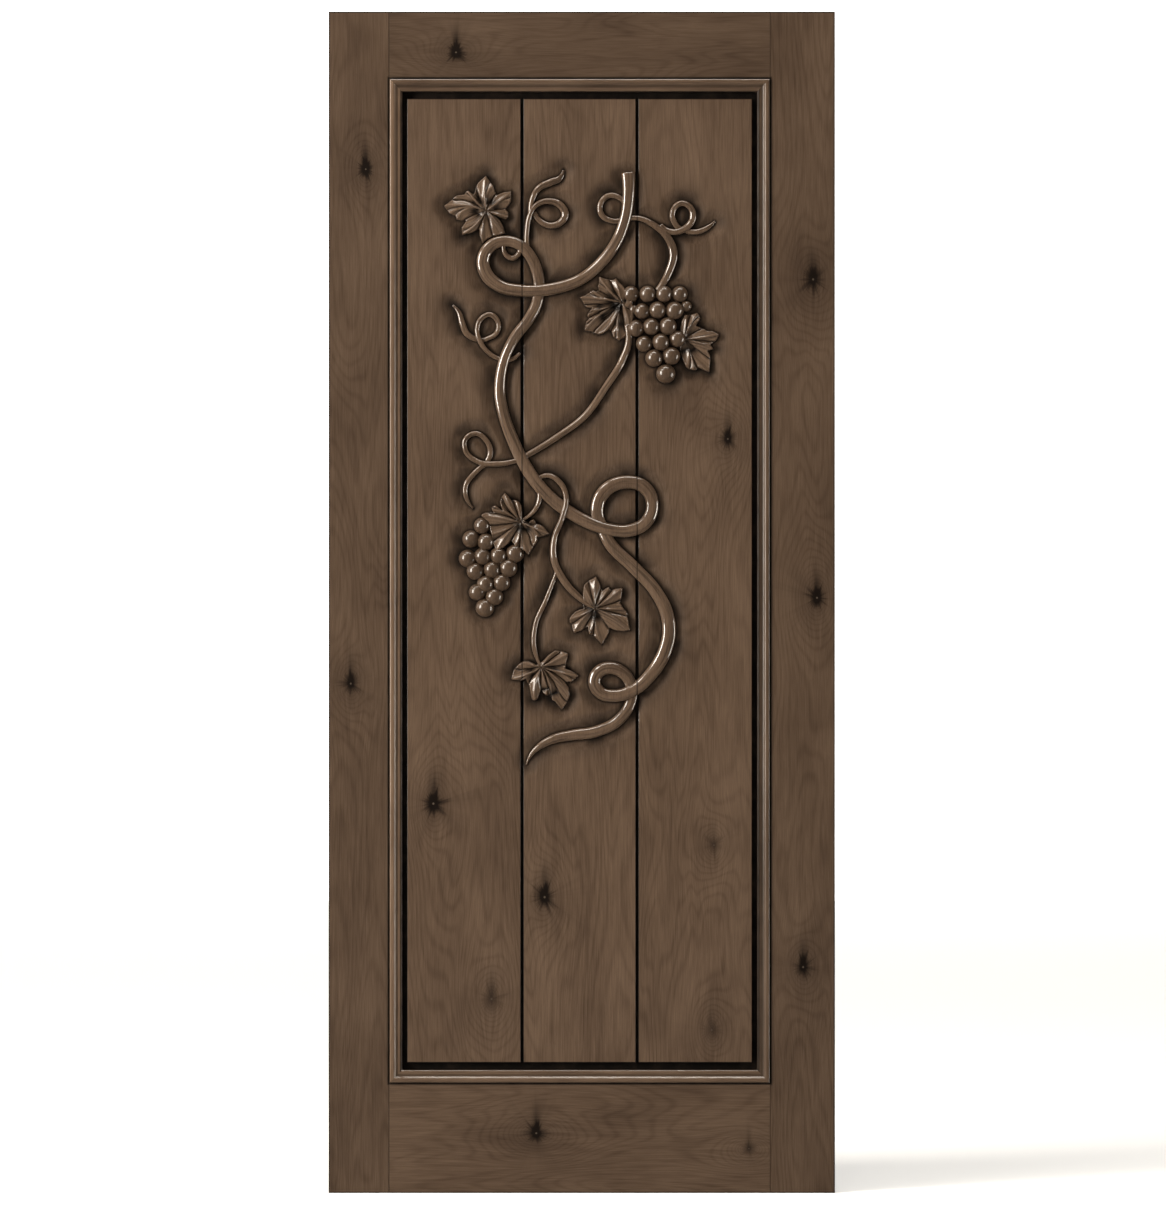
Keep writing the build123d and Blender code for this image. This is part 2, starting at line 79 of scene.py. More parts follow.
# The carving is drawn in millimetres from the hinge edge and the foot. Each stem is a
# list of x, z, width and rise above the carved ground. The rise is FULL where none is
# given. The main vine goes down to DIP where it passes under itself.
FULL = 12.5
DIP = 7.0
STEMS = {
    "main_vine": [[
        (541, 1843, 24), (542, 1809, 21), (537, 1766, 20), (523, 1725, 20), (493, 1682, 20),
        (459, 1653, 20), (402, 1633, 21, FULL + 1), (350, 1630, 21), (308, 1639, 22),
        (284, 1661, 23), (279, 1688, 22), (294, 1712, 21), (321, 1720, 19), (346, 1712, 19),
        (365, 1691, 20), (376, 1666, 20, FULL - 1), (381, 1630, 20, DIP)], [
        (379, 1640, 18, DIP - 3), (375, 1605, 20, FULL - 1), (361, 1578, 19), (337, 1547, 19),
        (320, 1514, 18), (311, 1480, 19), (309, 1444, 20), (316, 1406, 20), (330, 1366, 21),
        (353, 1317, 22), (377, 1281, 22), (412, 1246, 22, FULL - 3), (459, 1216, 22),
        (509, 1198, 22, FULL + 1), (540, 1196, 22), (573, 1211, 22), (585, 1241, 22),
        (570, 1275, 23), (535, 1284, 23), (499, 1268, 24), (485, 1238, 23, FULL - 1),
        (493, 1205, 20, DIP)], [
        (492, 1208, 18, DIP - 3), (507, 1175, 22, FULL - 1), (550, 1131, 22), (589, 1089, 22),
        (609, 1052, 23), (615, 1014, 24), (606, 975, 24), (584, 939, 23), (553, 910, 22, FULL + 1),
        (517, 898, 22, FULL + 1), (489, 905, 22), (480, 925, 22), (489, 942, 22), (510, 948, 22),
        (532, 939, 21, FULL - 1), (545, 921, 20, FULL - 3), (548, 901, 19, DIP),
        (542, 878, 19, FULL - 1), (520, 851, 20), (482, 833, 20), (441, 827, 19),
        (404, 819, 16, FULL - 1), (383, 808, 12, FULL - 3), (366, 792, 7, 6), (357, 773, 2, 2)]],
    "upper_tendril": [[
        (358, 1705, 10, 8), (358, 1737, 9, 8), (362, 1763, 9, 8), (372, 1782, 9, 9),
        (399, 1792, 11, 9), (421, 1782, 13, 8), (427, 1766, 13, 8), (418, 1753, 12, 8),
        (399, 1748, 11, 8), (383, 1755, 10, 6), (371, 1772, 8, 3)], [
        (365, 1770, 9, 6), (368, 1796, 10, 8), (379, 1815, 11, 8), (401, 1826, 13, 8),
        (417, 1833, 11, 6), (424, 1848, 3, 2)]],
    "inner_curl": [[
        (316, 1713, 8, 7), (317, 1701, 8, 7), (322, 1693, 9, 7), (331, 1689, 10, 8),
        (340, 1693, 9, 7), (345, 1701, 9, 7), (345, 1712, 8, 7)]],
    "trunk_ring": [[
        (537, 1784, 8, 7), (524, 1799, 9, 7), (507, 1802, 10, 7), (492, 1789, 10, 7),
        (494, 1766, 10, 7), (509, 1757, 9, 7), (533, 1759, 9, 7)]],
    "upper_bunch_stalk": [[
        (538, 1759, 9, 7), (562, 1761, 9, 8), (587, 1749, 11, 9), (611, 1728, 13, 9),
        (623, 1697, 15, 9), (615, 1665, 14, 9), (594, 1630, 11, 9)]],
    "right_tendril": [[
        (600, 1749, 8, 6), (624, 1736, 11, 9), (643, 1742, 12, 9), (658, 1762, 12, 8),
        (652, 1782, 10, 8), (637, 1788, 10, 8), (622, 1774, 10, 8), (626, 1751, 10, 6),
        (640, 1739, 9, 3)], [
        (643, 1740, 9, 6), (661, 1736, 10, 7), (681, 1742, 9, 6), (698, 1756, 3, 2)]],
    "cross_branch": [[
        (539, 1568, 11, 9), (542, 1538, 12, 9), (530, 1503, 13, 9), (502, 1458, 12, 9),
        (462, 1403, 12, 9), (411, 1365, 11, 9), (348, 1327, 10, 8)]],
    "cross_tendril": [[
        (345, 1325, 8, 7), (303, 1317, 10, 9), (270, 1321, 9, 9), (247, 1341, 9, 8),
        (248, 1363, 9, 8), (265, 1372, 9, 8), (284, 1360, 9, 8), (292, 1339, 10, 6),
        (286, 1321, 9, 3)], [
        (286, 1318, 8, 5), (262, 1299, 9, 7), (247, 1276, 9, 7), (250, 1252, 8, 6),
        (261, 1237, 2, 2)]],
    "left_tendril": [[
        (316, 1505, 7, 7), (294, 1514, 8, 8), (274, 1537, 9, 9), (268, 1560, 9, 8),
        (277, 1581, 9, 8), (291, 1587, 9, 8), (305, 1575, 9, 8), (304, 1555, 9, 8),
        (288, 1544, 8, 6), (274, 1540, 8, 3)], [
        (271, 1542, 8, 5), (250, 1552, 11, 8), (241, 1571, 11, 8), (235, 1591, 8, 6),
        (224, 1604, 3, 2)]],
    "vine_bud": [[
        (315, 1503, 7, 7), (334, 1508, 8, 7), (345, 1518, 5, 4)]],
    "looping_branch": [[
        (373, 1285, 7, 7), (397, 1296, 9, 8), (418, 1283, 10, 10), (429, 1257, 10, 13),
        (422, 1220, 10, 14), (408, 1184, 11, 10), (407, 1144, 12, 9), (424, 1107, 13, 9),
        (451, 1077, 12, 9), (480, 1056, 6, 8)]],
    "leaf_branch": [[
        (412, 1121, 7, 7), (393, 1072, 8, 8), (374, 1028, 9, 8), (371, 986, 9, 8),
        (384, 950, 5, 9)]],
    "lower_bunch_stalk": [[
        (343, 1213, 5, 13), (364, 1225, 7, 10), (378, 1244, 9, 8), (379, 1274, 9, 7)]],
}

# Each grape is x, z, radius and how far its centre stands off the ground: first the
# upper bunch, then the lower one.
GRAPES = [
    (546, 1624, 15.0, 1), (576, 1624, 15.3, 3), (606, 1624, 15.3, 3), (634, 1624, 14.8, 1),
    (551, 1596, 9, 1), (566, 1593, 14.6, 2), (646, 1602, 10, 1), (594, 1595, 15.6, 4.2),
    (625, 1594, 16.6, 3), (555, 1562, 15.6, 1), (583, 1565, 15.6, 4.2), (613, 1566, 16.4, 3.4),
    (570, 1534, 15.2, 2), (600, 1537, 16.0, 3.8), (630, 1543, 15.6, 1), (588, 1508, 16.2, 3),
    (619, 1512, 16.6, 2), (609, 1480, 17.8, 1),

    (277, 1205, 15.4, 1), (257, 1181, 16.2, 1), (284, 1176, 15.8, 4), (251, 1146, 16.4, 1),
    (278, 1150, 15.8, 4.1), (306, 1151, 15.8, 4), (336, 1155, 17.2, 1), (265, 1123, 16.2, 2),
    (295, 1126, 16.0, 3.8), (324, 1129, 17.2, 2), (283, 1100, 15.8, 4), (312, 1103, 16.4, 2),
    (268, 1085, 15.6, 1), (299, 1077, 16.4, 2), (282, 1057, 17.2, 1),
]

# Each leaf has a hub, its toothed outline and the tips of its lobes with their weight,
# measured from the hub. A leaf with a lift lies that much higher.
LEAVES = {
    "upper_left_leaf": {"hub": (285, 1774), "outline": [
        (-1, 64), (5, 55), (13, 45), (14, 40), (16, 34), (19, 29), (31, 34), (45, 36), (45, 27),
        (45, 18), (41, 11), (35, 4), (40, -3), (40, -12), (35, -16), (26, -13), (17, -9),
        (24, -16), (30, -26), (34, -41), (24, -44), (12, -46), (3, -50), (-7, -59), (-13, -44),
        (-13, -33), (-26, -40), (-44, -44), (-45, -30), (-37, -18), (-45, -18), (-54, -16),
        (-56, -10), (-67, -5), (-77, 9), (-68, 16), (-61, 22), (-54, 28), (-40, 30), (-37, 35),
        (-33, 37), (-24, 30), (-21, 35), (-20, 42), (-15, 51), (-9, 57)], "lobes": [
        (-1, 64, 1.0), (45, 34, 0.9), (38, -10, 0.7), (31, -42, 0.9), (-6, -57, 0.8),
        (-44, -42, 1.0), (-76, 9, 1.0), (-33, 36, 0.7)]},
    "upper_bunch_left_leaf": {"hub": (529, 1609), "outline": [
        (-41, 47), (-30, 43), (-20, 41), (-14, 41), (-10, 44), (-4, 36), (2, 31), (7, 24), (20, 4),
        (22, -28), (17, -48), (9, -61), (-4, -70), (-15, -63), (-18, -54), (-22, -50), (-30, -55),
        (-34, -57), (-42, -59), (-55, -53), (-67, -52), (-66, -42), (-64, -35), (-59, -30),
        (-62, -25), (-61, -20), (-54, -11), (-62, -10), (-66, -7), (-71, 2), (-76, 9), (-66, 13),
        (-52, 22), (-46, 20), (-41, 22), (-43, 29), (-41, 35)], "lobes": [
        (-40, 46, 1.0), (-12, 42, 0.7), (-75, 9, 1.0), (-61, -16, 0.6), (-66, -51, 1.0),
        (-36, -57, 0.7), (-5, -69, 1.0), (14, -40, 0.7)]},
    "upper_bunch_right_leaf": {"hub": (642, 1541), "outline": [
        (-7, 22), (-4, 36), (2, 46), (13, 46), (24, 49), (29, 43), (29, 37), (22, 26), (31, 22),
        (36, 20), (41, 17), (53, 16), (63, 11), (62, 5), (59, 0), (53, -5), (48, -9), (51, -13),
        (54, -17), (43, -20), (47, -27), (48, -35), (47, -47), (46, -59), (36, -55), (26, -50),
        (22, -55), (17, -55), (10, -54), (4, -50), (-2, -38), (-7, -22)], "lobes": [
        (24, 48, 1.0), (4, 44, 0.6), (63, 11, 1.0), (52, -16, 0.6), (46, -58, 1.0),
        (16, -54, 0.8)]},
    "lower_bunch_leaf": {"hub": (347, 1212), "lift": 5, "outline": [
        (-29, 53), (-22, 46), (-16, 38), (-12, 40), (-7, 39), (-2, 35), (1, 30), (3, 18), (3, 8),
        (9, 2), (14, -2), (18, 3), (23, 5), (26, 2), (28, -3), (34, -4), (40, -7), (46, -14),
        (52, -22), (41, -26), (30, -28), (31, -33), (28, -38), (20, -50), (14, -61), (7, -53),
        (0, -49), (-5, -47), (-10, -45), (-13, -40), (-17, -35), (-30, -46), (-43, -54),
        (-47, -48), (-49, -42), (-52, -34), (-52, -26), (-56, -14), (-57, -2), (-65, 5), (-72, 11),
        (-69, 15), (-64, 17), (-56, 18), (-49, 17), (-52, 21), (-53, 26), (-50, 29), (-45, 30),
        (-39, 25), (-33, 21), (-36, 28), (-38, 36), (-35, 45)], "lobes": [
        (-29, 52, 1.0), (-7, 37, 0.6), (51, -21, 1.0), (22, 2, 0.5), (14, -60, 1.0),
        (-10, -43, 0.6), (-43, -53, 1.0), (-54, -22, 0.6), (-71, 12, 1.0), (-47, 29, 0.7)]},
    "centre_leaf": {"hub": (481, 1056), "outline": [
        (2, 58), (6, 50), (10, 42), (11, 36), (14, 32), (19, 36), (25, 39), (29, 33), (39, 36),
        (50, 37), (50, 31), (49, 25), (48, 17), (45, 10), (49, 5), (51, 1), (55, -3), (58, -8),
        (61, -24), (64, -40), (52, -42), (40, -41), (33, -39), (27, -36), (25, -45), (21, -53),
        (13, -66), (6, -59), (1, -53), (-5, -49), (-10, -47), (-13, -40), (-13, -34), (-25, -41),
        (-38, -45), (-41, -38), (-42, -30), (-46, -25), (-46, -18), (-42, -12), (-36, -6),
        (-28, -2), (-21, -1), (-22, 13), (-22, 27), (-21, 35), (-20, 42), (-15, 47), (-10, 51),
        (-4, 54)], "lobes": [
        (2, 57, 1.0), (49, 36, 1.0), (51, 0, 0.6), (63, -39, 1.0), (13, -64, 1.0), (-11, -46, 0.6),
        (-38, -44, 1.0), (-45, -19, 0.8), (-20, 40, 0.6), (25, 37, 0.5)]},
    "foot_leaf": {"hub": (384, 950), "outline": [
        (3, 11), (13, 22), (25, 30), (37, 29), (49, 24), (48, 17), (46, 10), (44, -3), (53, -6),
        (61, -10), (68, -16), (62, -22), (55, -27), (44, -28), (50, -38), (52, -51), (46, -66),
        (37, -78), (31, -71), (25, -63), (20, -60), (18, -54), (13, -52), (8, -51), (3, -47),
        (1, -41), (-3, -49), (-6, -58), (-11, -61), (-17, -60), (-20, -47), (-22, -34), (-28, -22),
        (-34, -25), (-39, -25), (-47, -24), (-54, -23), (-53, -13), (-49, -4), (-43, 3), (-37, 8),
        (-30, 11), (-23, 11), (-16, 8), (-9, 4)], "lobes": [
        (25, 29, 0.8), (48, 24, 0.9), (67, -16, 1.0), (51, -48, 0.6), (37, -76, 1.0),
        (18, -52, 0.5), (-12, -59, 1.0), (-53, -22, 1.0), (-35, 8, 0.8)]},
}


FAR = 1e3  # millimetres, more than any distance on the leaf


def ease(t):
    """0 up to t = 0 and 1 from t = 1, smooth between."""
    t = np.clip(t, 0, 1)
    return t * t * (3 - 2 * t)


def bell(distance, width, power=2):
    """1 at no distance, falling off over the width."""
    return np.exp(-((distance / width) ** power))


# Curves through the drawn points.
def headings(points):
    """Direction of travel at each point of a curve through the points."""
    steps = np.diff(points, axis=0)
    lengths = np.linalg.norm(steps, axis=1)[:, None]
    inner = steps[:-1] / lengths[:-1] ** 2 + steps[1:] / lengths[1:] ** 2
    inner /= np.linalg.norm(inner, axis=1)[:, None]
    first, last = steps[0] / lengths[0], steps[-1] / lengths[-1]
    head = 2 * first * inner[0].dot(first) - inner[0]
    tail = 2 * last * inner[-1].dot(last) - inner[-1]
    return np.vstack([head, inner, tail])


PATH_STEP = 2.0  # millimetres between the points of a stem's path
AVERAGED = 9  # path points over which width and rise are averaged
WIDENING = 1.06  # stems are this much wider than drawn, as in the photo


def smooth_path(stations):
    """Points, headings, widths and rises along a stem."""
    table = np.array([(*station, FULL)[:4] for station in stations], float)
    points, aim = table[:, :2], headings(table[:, :2])
    rows = []
    for k in range(len(points) - 1):
        chord = np.linalg.norm(points[k + 1] - points[k])
        turn = math.acos(max(-1.0, min(1.0, aim[k].dot(aim[k + 1]))))
        pull = chord / math.cos(turn / 4) ** 2
        count = max(3, int(chord / PATH_STEP))
        t = np.linspace(0, 1, count, endpoint=False)[:, None]
        rows.append(np.hstack([
            (2 * t**3 - 3 * t**2 + 1) * points[k] + (t**3 - 2 * t**2 + t) * pull * aim[k]
            + (3 * t**2 - 2 * t**3) * points[k + 1] + (t**3 - t**2) * pull * aim[k + 1],
            (1 - t) * table[k, 2:] + t * table[k + 1, 2:]]))
    rows.append(table[-1:])
    path = np.vstack(rows)
    for column in (2, 3):
        padded = np.pad(path[:, column], AVERAGED // 2, mode="edge")
        path[:, column] = np.convolve(padded, np.ones(AVERAGED) / AVERAGED, mode="valid")
    path[:, 2] *= WIDENING
    ahead = np.gradient(path[:, :2], axis=0)
    ahead /= np.linalg.norm(ahead, axis=1)[:, None]
    return path[:, :2], ahead, path[:, 2], path[:, 3]


paths = {name: [smooth_path(stem) for stem in stems] for name, stems in STEMS.items()}


# Mesh helpers.
def make_object(name, points, faces, glaze_and_shade=None, halo_shade=None, run=None, flat=()):
    """Mesh object with its attributes of glaze and painted shade, painted halo shade and run of
    grain; the faces listed in flat stay flat.
    """
    mesh = bpy.data.meshes.new(name)
    mesh.from_pydata([tuple(p) for p in points], [], [tuple(f) for f in faces])
    mesh.update()
    smooth = np.ones(len(mesh.polygons), bool)
    smooth[list(flat)] = False
    mesh.polygons.foreach_set("use_smooth", smooth)
    for title, values in (("glaze_and_shade", glaze_and_shade), ("halo_shade", halo_shade)):
        if values is not None:
            layer = mesh.attributes.new(title, "FLOAT", "POINT")
            layer.data.foreach_set("value", np.asarray(values, np.float32))
    if run is not None:
        layer = mesh.attributes.new("run", "FLOAT_VECTOR", "POINT")
        layer.data.foreach_set("vector", np.asarray(run, np.float32).ravel())
    piece = bpy.data.objects.new(name, mesh)
    scene.collection.objects.link(piece)
    return piece


def face_outwards(piece):
    """Point every face of a closed mesh outwards."""
    bpy.context.view_layer.objects.active = piece
    piece.select_set(True)
    bpy.ops.object.mode_set(mode="EDIT")
    bpy.ops.mesh.select_all(action="SELECT")
    bpy.ops.mesh.normals_make_consistent(inside=False)
    bpy.ops.object.mode_set(mode="OBJECT")
    piece.select_set(False)


def dress(piece, node, material):
    """The piece stands for a carved node of the frame."""
    face_outwards(piece)
    piece.data.materials.append(material)
    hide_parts(node)
    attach(piece, "root")


def build_joined(name, meshes, material):
    """One carved piece out of several meshes, each with points, faces, glaze with painted shade,
    and run.
    """
    points, faces, glaze_and_shade, run = [], [], [], []
    for more_points, more_faces, more_glaze, more_run in meshes:
        base = len(points)
        points += more_points
        faces += [tuple(base + k for k in face) for face in more_faces]
        glaze_and_shade += more_glaze
        run += more_run
    piece = make_object(name + "_carved", points, faces, glaze_and_shade, run=run)
    dress(piece, name, material)


# Stems.
RING = 19  # points over the rounded top of a stem
STREAK_SHIFT = 37.0  # millimetres by which the streaks of a node's stems differ


def stem_mesh(path, start):
    """Closed rounded rod on the ground: returns points, faces, glaze with painted shade, and run.

    A shallow groove winds along its top, and the top leans from side to side.
    """
    places, ahead, widths, rises = path
    arc = np.linspace(0, math.pi, RING)
    across = np.sign(np.cos(arc)) * np.abs(np.cos(arc)) ** 0.88
    up = np.sin(arc) ** 0.66
    points, glaze_and_shade, run, faces = [], [], [], []
    length = start
    for i, ((x, z), (dx, dz), width, rise) in enumerate(zip(places, ahead, widths, rises)):
        if i:
            length += math.hypot(x - places[i - 1][0], z - places[i - 1][1])
        groove = 0.30 * math.sin(length / 61) - 0.15
        lean = 0.10 * math.sin(length / 43 + 1.0)
        for a, u in zip(across, up):
            cut = 0.055 * math.exp(-((a - groove) / 0.16) ** 2)
            lift = u * (1 - cut + lean * a)
            side = a * width / 2
            depth = ground - lift * rise * MM if u > 0 else ground + seat
            points.append(((x + dz * side) * MM, depth, (z - dx * side) * MM))
            # The glaze and painted shade darken the rod's low sides, near the ground, and its
            # groove.
            glaze_and_shade.append(max(0.0, 1 - 1.9 * u) ** 1.2 + 3.6 * cut)
            run.append((length * MM, side * MM, start * MM))
    count = len(places)
    for i in range(count - 1):
        row, following = i * RING, (i + 1) * RING
        for j in range(RING):
            k = (j + 1) % RING
            faces.append((row + j, row + k, following + k, following + j))
    faces.append(tuple(range(RING)))
    faces.append(tuple((count - 1) * RING + j for j in reversed(range(RING))))
    return points, faces, glaze_and_shade, run


# Grapes.
def grape_mesh(x, z, radius, stand):
    """Round grape whose back is cut flat just under the ground."""
    around, down = 30, 13  # points round a grape, and rings from its front to its back
    last_polar = math.pi * 0.62
    points, faces, glaze_and_shade = [(x * MM, ground - (radius + stand) * MM, z * MM)], [], [0.0]
    for i in range(1, down):
        polar = last_polar * i / (down - 1)
        for j in range(around):
            turn = 2 * math.pi * j / around
            out = radius * math.sin(polar)
            height = stand + radius * math.cos(polar)
            points.append(((x + out * math.cos(turn)) * MM,
                           min(ground - height * MM, ground + seat),
                           (z + out * math.sin(turn)) * MM))
            # Glaze and painted shade darken the low sides of each grape, where it meets the ground
            # and its neighbours.
            glaze_and_shade.append(max(0.0, min(1.0, 2.2 * (0.34 - height / radius))))
    for j in range(around):
        k = (j + 1) % around
        faces.append((0, 1 + j, 1 + k))
    for i in range(down - 2):
        row, following = 1 + i * around, 1 + (i + 1) * around
        for j in range(around):
            k = (j + 1) % around
            faces.append((row + j, following + j, following + k, row + k))
    faces.append(tuple(1 + (down - 2) * around + j for j in range(around)))
    run = [(up, side, depth) for side, depth, up in points]
    return points, faces, glaze_and_shade, run


# Leaves.
def distance_to_line(spots, line):
    """Distance from each spot to a line, and how far along it that is, 0 to 1."""
    best, along = np.full(len(spots), FAR), np.zeros(len(spots))
    for k, (a, b) in enumerate(zip(line, line[1:])):
        edge = b - a
        t = np.clip(((spots - a) @ edge) / edge.dot(edge), 0, 1)
        gap = np.linalg.norm(spots - a - t[:, None] * edge, axis=1)
        nearer = gap < best
        best = np.where(nearer, gap, best)
        along = np.where(nearer, (k + t) / (len(line) - 1), along)
    return best, along


def distance_to_outline(spots, outline):
    """Distance from each spot to the outline of a leaf."""
    return distance_to_line(spots, np.vstack([outline, outline[:1]]))[0]


BOW_POINTS = 12  # points on a vein


def bow(start, pull, end):
    """Points on a bowed line from start to end, drawn towards pull."""
    t = np.linspace(0, 1, BOW_POINTS)[:, None]
    return (1 - t) ** 2 * start + 2 * t * (1 - t) * pull + t ** 2 * end


TOOTH_SHARPNESS = 0.42  # sine of the turn at which a corner counts as a tooth
TOOTH_GAP = 9  # millimetres from one vein's tip to the next


def leaf_veins(outline, lobes):
    """Bowed veins of a leaf: one to the tip of each lobe, one to each tooth beside it.

    Each vein is its points, the number of its lobe and its weight.
    """
    hub = np.zeros(2)
    tips = np.array([(x, z) for x, z, _ in lobes], float)
    veins = []
    for number, (tip, (_, _, weight)) in enumerate(zip(tips, lobes)):
        aside = np.array((-tip[1], tip[0])) * 0.16 * math.sin(2.7 * number + 0.6)
        veins.append((bow(hub, tip * 0.5 + aside, tip), number, weight))
    stems = [vein[0] for vein in veins]
    before, after = np.roll(outline, 1, axis=0), np.roll(outline, -1, axis=0)
    turned = np.cross(outline - before, after - outline)
    round_way = np.sign(np.cross(outline, after).sum())
    steps = np.linalg.norm(after - outline, axis=1)
    sharp = turned * round_way / (steps * np.roll(steps, 1))
    taken = list(tips)
    for tooth in outline[sharp > TOOTH_SHARPNESS]:
        if min(np.linalg.norm(tooth - other) for other in taken) < TOOTH_GAP:
            continue
        taken.append(tooth)
        angles = [abs(math.remainder(math.atan2(tooth[1], tooth[0]) - math.atan2(tip[1], tip[0]),
                                     2 * math.pi)) for tip in tips]
        number = int(np.argmin(angles))
        reach = np.linalg.norm(tooth) / np.linalg.norm(tips[number])
        stem = stems[number]
        last = len(stem) - 1
        start = stem[min(int(last * reach * 0.30), last - 1)]
        pull = stem[min(int(last * reach * 0.78), last)]
        veins.append((bow(start, pull, tooth), number, 0.8 * lobes[number][2]))
    return veins


def leaf_form(spots, outline, lobes):
    """Rise of a leaf over the ground in millimetres, its glaze with painted shade and its run of
    grain.
    """
    veins = leaf_veins(outline, lobes)
    gaps, alongs = map(np.array, zip(*[distance_to_line(spots, vein[0]) for vein in veins]))
    owners = np.array([vein[1] for vein in veins])
    weights = np.array([vein[2] for vein in veins])
    first = np.argmin(gaps, axis=0)
    each = np.arange(len(spots))
    gap, along, lobe = gaps[first, each], alongs[first, each], owners[first]
    same = (owners[:, None] == lobe) & (np.arange(len(veins))[:, None] != first)
    beside = np.where(same, gaps, FAR).min(axis=0) - gap
    across = np.where(owners[:, None] != lobe, gaps, FAR).min(axis=0) - gap
    edge = distance_to_outline(spots, outline)
    reach = np.hypot(spots[:, 0], spots[:, 1])
    spread = ease((reach - 4) / 14)
    main, main_along = gaps[lobe, each], alongs[lobe, each]
    off_vein = ease((gap - 0.8) / 1.6)

    # Each term of the height is a rise in millimetres, faded over a width in millimetres.
    edge_height, inner_rise, least_height = 4.4, 3.2, 1.2
    dome = 4.6 * weights[first] * np.sin(np.pi * np.clip(0.12 + 0.74 * main_along, 0, 1))
    tilt = np.sin(2.4 * lobe + 1.0) * spread
    round_off = -2.6 * (1 - bell(gap, 4.6)) * spread
    furrow = -1.5 * bell(beside, 1.9, 1.2) * spread * off_vein
    crease = -3.8 * bell(across, 3.8, 1.1) * ease(reach / 16)
    rib = 1.7 * bell(main, 1.15) * np.clip(1.2 - main_along, 0, 1)
    hollow = -2.0 * bell(reach, 5.0)
    lip = 1.1 * bell(edge - 1.8, 1.1) * ease(reach / 20)
    rim = 1 - (1 - np.clip(edge / 2.6, 0, 1)) ** 2
    folds = inner_rise + dome + tilt + round_off + furrow + crease + rib + hollow + lip
    height = np.maximum(edge_height + rim * folds, least_height)

    # Glaze and painted shade darken the creases, the furrows, beside the ribs, the hub and the
    # edge.
    glaze_and_shade = np.maximum.reduce([
        bell(across, 2.4, 1.4) * ease(reach / 6),
        0.92 * bell(beside, 1.5, 1.4) * spread * off_vein,
        0.30 * bell(main - 3.0, 1.0) * spread,
        0.28 * bell(gap - 2.8, 0.9) * spread,
        0.85 * bell(reach, 3.6),
        0.75 * np.clip(1 - edge, 0, 1)])

    # The streaks run along the veins, and each vein has its own.
    run = np.stack([along * 60, gap * 1.4 + 31 * first, np.zeros(len(spots))], axis=1) * MM
    return height, glaze_and_shade, run


LEAF_PITCH = 1.05  # millimetres between the points of a leaf
ROW_PITCH = LEAF_PITCH * 0.87  # between its rows, which are set off by half a pitch
LEAF_SEAT = 1.0 * MM  # how far a leaf goes into the ground


def build_leaf(name, material):
    """Leaf on a foot of straight walls, flat underneath."""
    leaf = LEAVES[name]
    outline = np.array(leaf["outline"], float)
    low, high = outline.min(0), outline.max(0)
    rim = []
    for a, b in zip(outline, np.roll(outline, -1, axis=0)):
        count = max(1, round(np.linalg.norm(b - a) / LEAF_PITCH))
        rim += [a + (b - a) * k / count for k in range(count)]
    rim = np.array(rim)
    grid_x = np.arange(low[0], high[0], LEAF_PITCH)
    grid_z = np.arange(low[1], high[1], ROW_PITCH)
    inner = np.array([(x + (row % 2) * LEAF_PITCH / 2, z)
                      for row, z in enumerate(grid_z) for x in grid_x])
    inner = inner[distance_to_outline(inner, outline) > LEAF_PITCH * 0.6]
    spots = np.vstack([rim, inner])
    loop = [(k, (k + 1) % len(rim)) for k in range(len(rim))]
    flat, _, faces, *_ = geometry.delaunay_2d_cdt([Vector(p) for p in spots], loop, [], 1, 1e-5)
    flat = np.array([tuple(p) for p in flat])
    height, glaze_and_shade, run = leaf_form(flat, outline, leaf["lobes"])
    height += leaf.get("lift", 0)
    hub_x, hub_z = leaf["hub"]
    top = [((hub_x + x) * MM, ground - h * MM, (hub_z + z) * MM)
           for (x, z), h in zip(flat, height)]
    count = len(top)
    foot = [(x, ground + LEAF_SEAT, z) for x, _, z in top]
    faces = [tuple(face) for face in faces]
    edges = {(a, b) for face in faces for a, b in zip(face, face[1:] + face[:1])}
    walls = [(a, a + count, b + count, b) for a, b in edges if (b, a) not in edges]
    under = [tuple(k + count for k in reversed(face)) for face in faces]
    # The walls under the leaf's edge are painted fully dark: painted shade with the glaze.
    piece = make_object(name + "_carved", top + foot, faces + walls + under,
                        np.concatenate([glaze_and_shade, np.ones(count)]),
                        run=np.vstack([run, run]),
                        flat=range(len(faces), len(faces) + len(walls) + len(under)))
    dress(piece, name, material)


# Planks.
def carving_discs():
    """Discs that cover the carving, as x, z and radius in millimetres."""
    discs = []
    for stems in paths.values():
        for places, _, widths, _ in stems:
            start = int(widths[0] / 4) + 1
            discs += [(x, z, w / 2) for (x, z), w in zip(places[start::2], widths[start::2])]
    discs += [(x, z, radius) for x, z, radius, _ in GRAPES]
    for leaf in LEAVES.values():
        centre = np.array(leaf["hub"], float)
        outline = np.array(leaf["outline"], float) + centre
        for a, b in zip(outline, np.roll(outline, -1, axis=0)):
            for t in (0.0, 0.5):
                point = a + (b - a) * t
                reach = np.linalg.norm(point - centre)
                for share in (1.0, 0.66, 0.33):
                    x, z = centre + (point - centre) * share
                    discs.append((x, z, 0.0 if share == 1.0 else 0.14 * reach))
    return np.array(discs)


DISCS = carving_discs()
LOOKED = 60  # millimetres from the carving within which distance counts


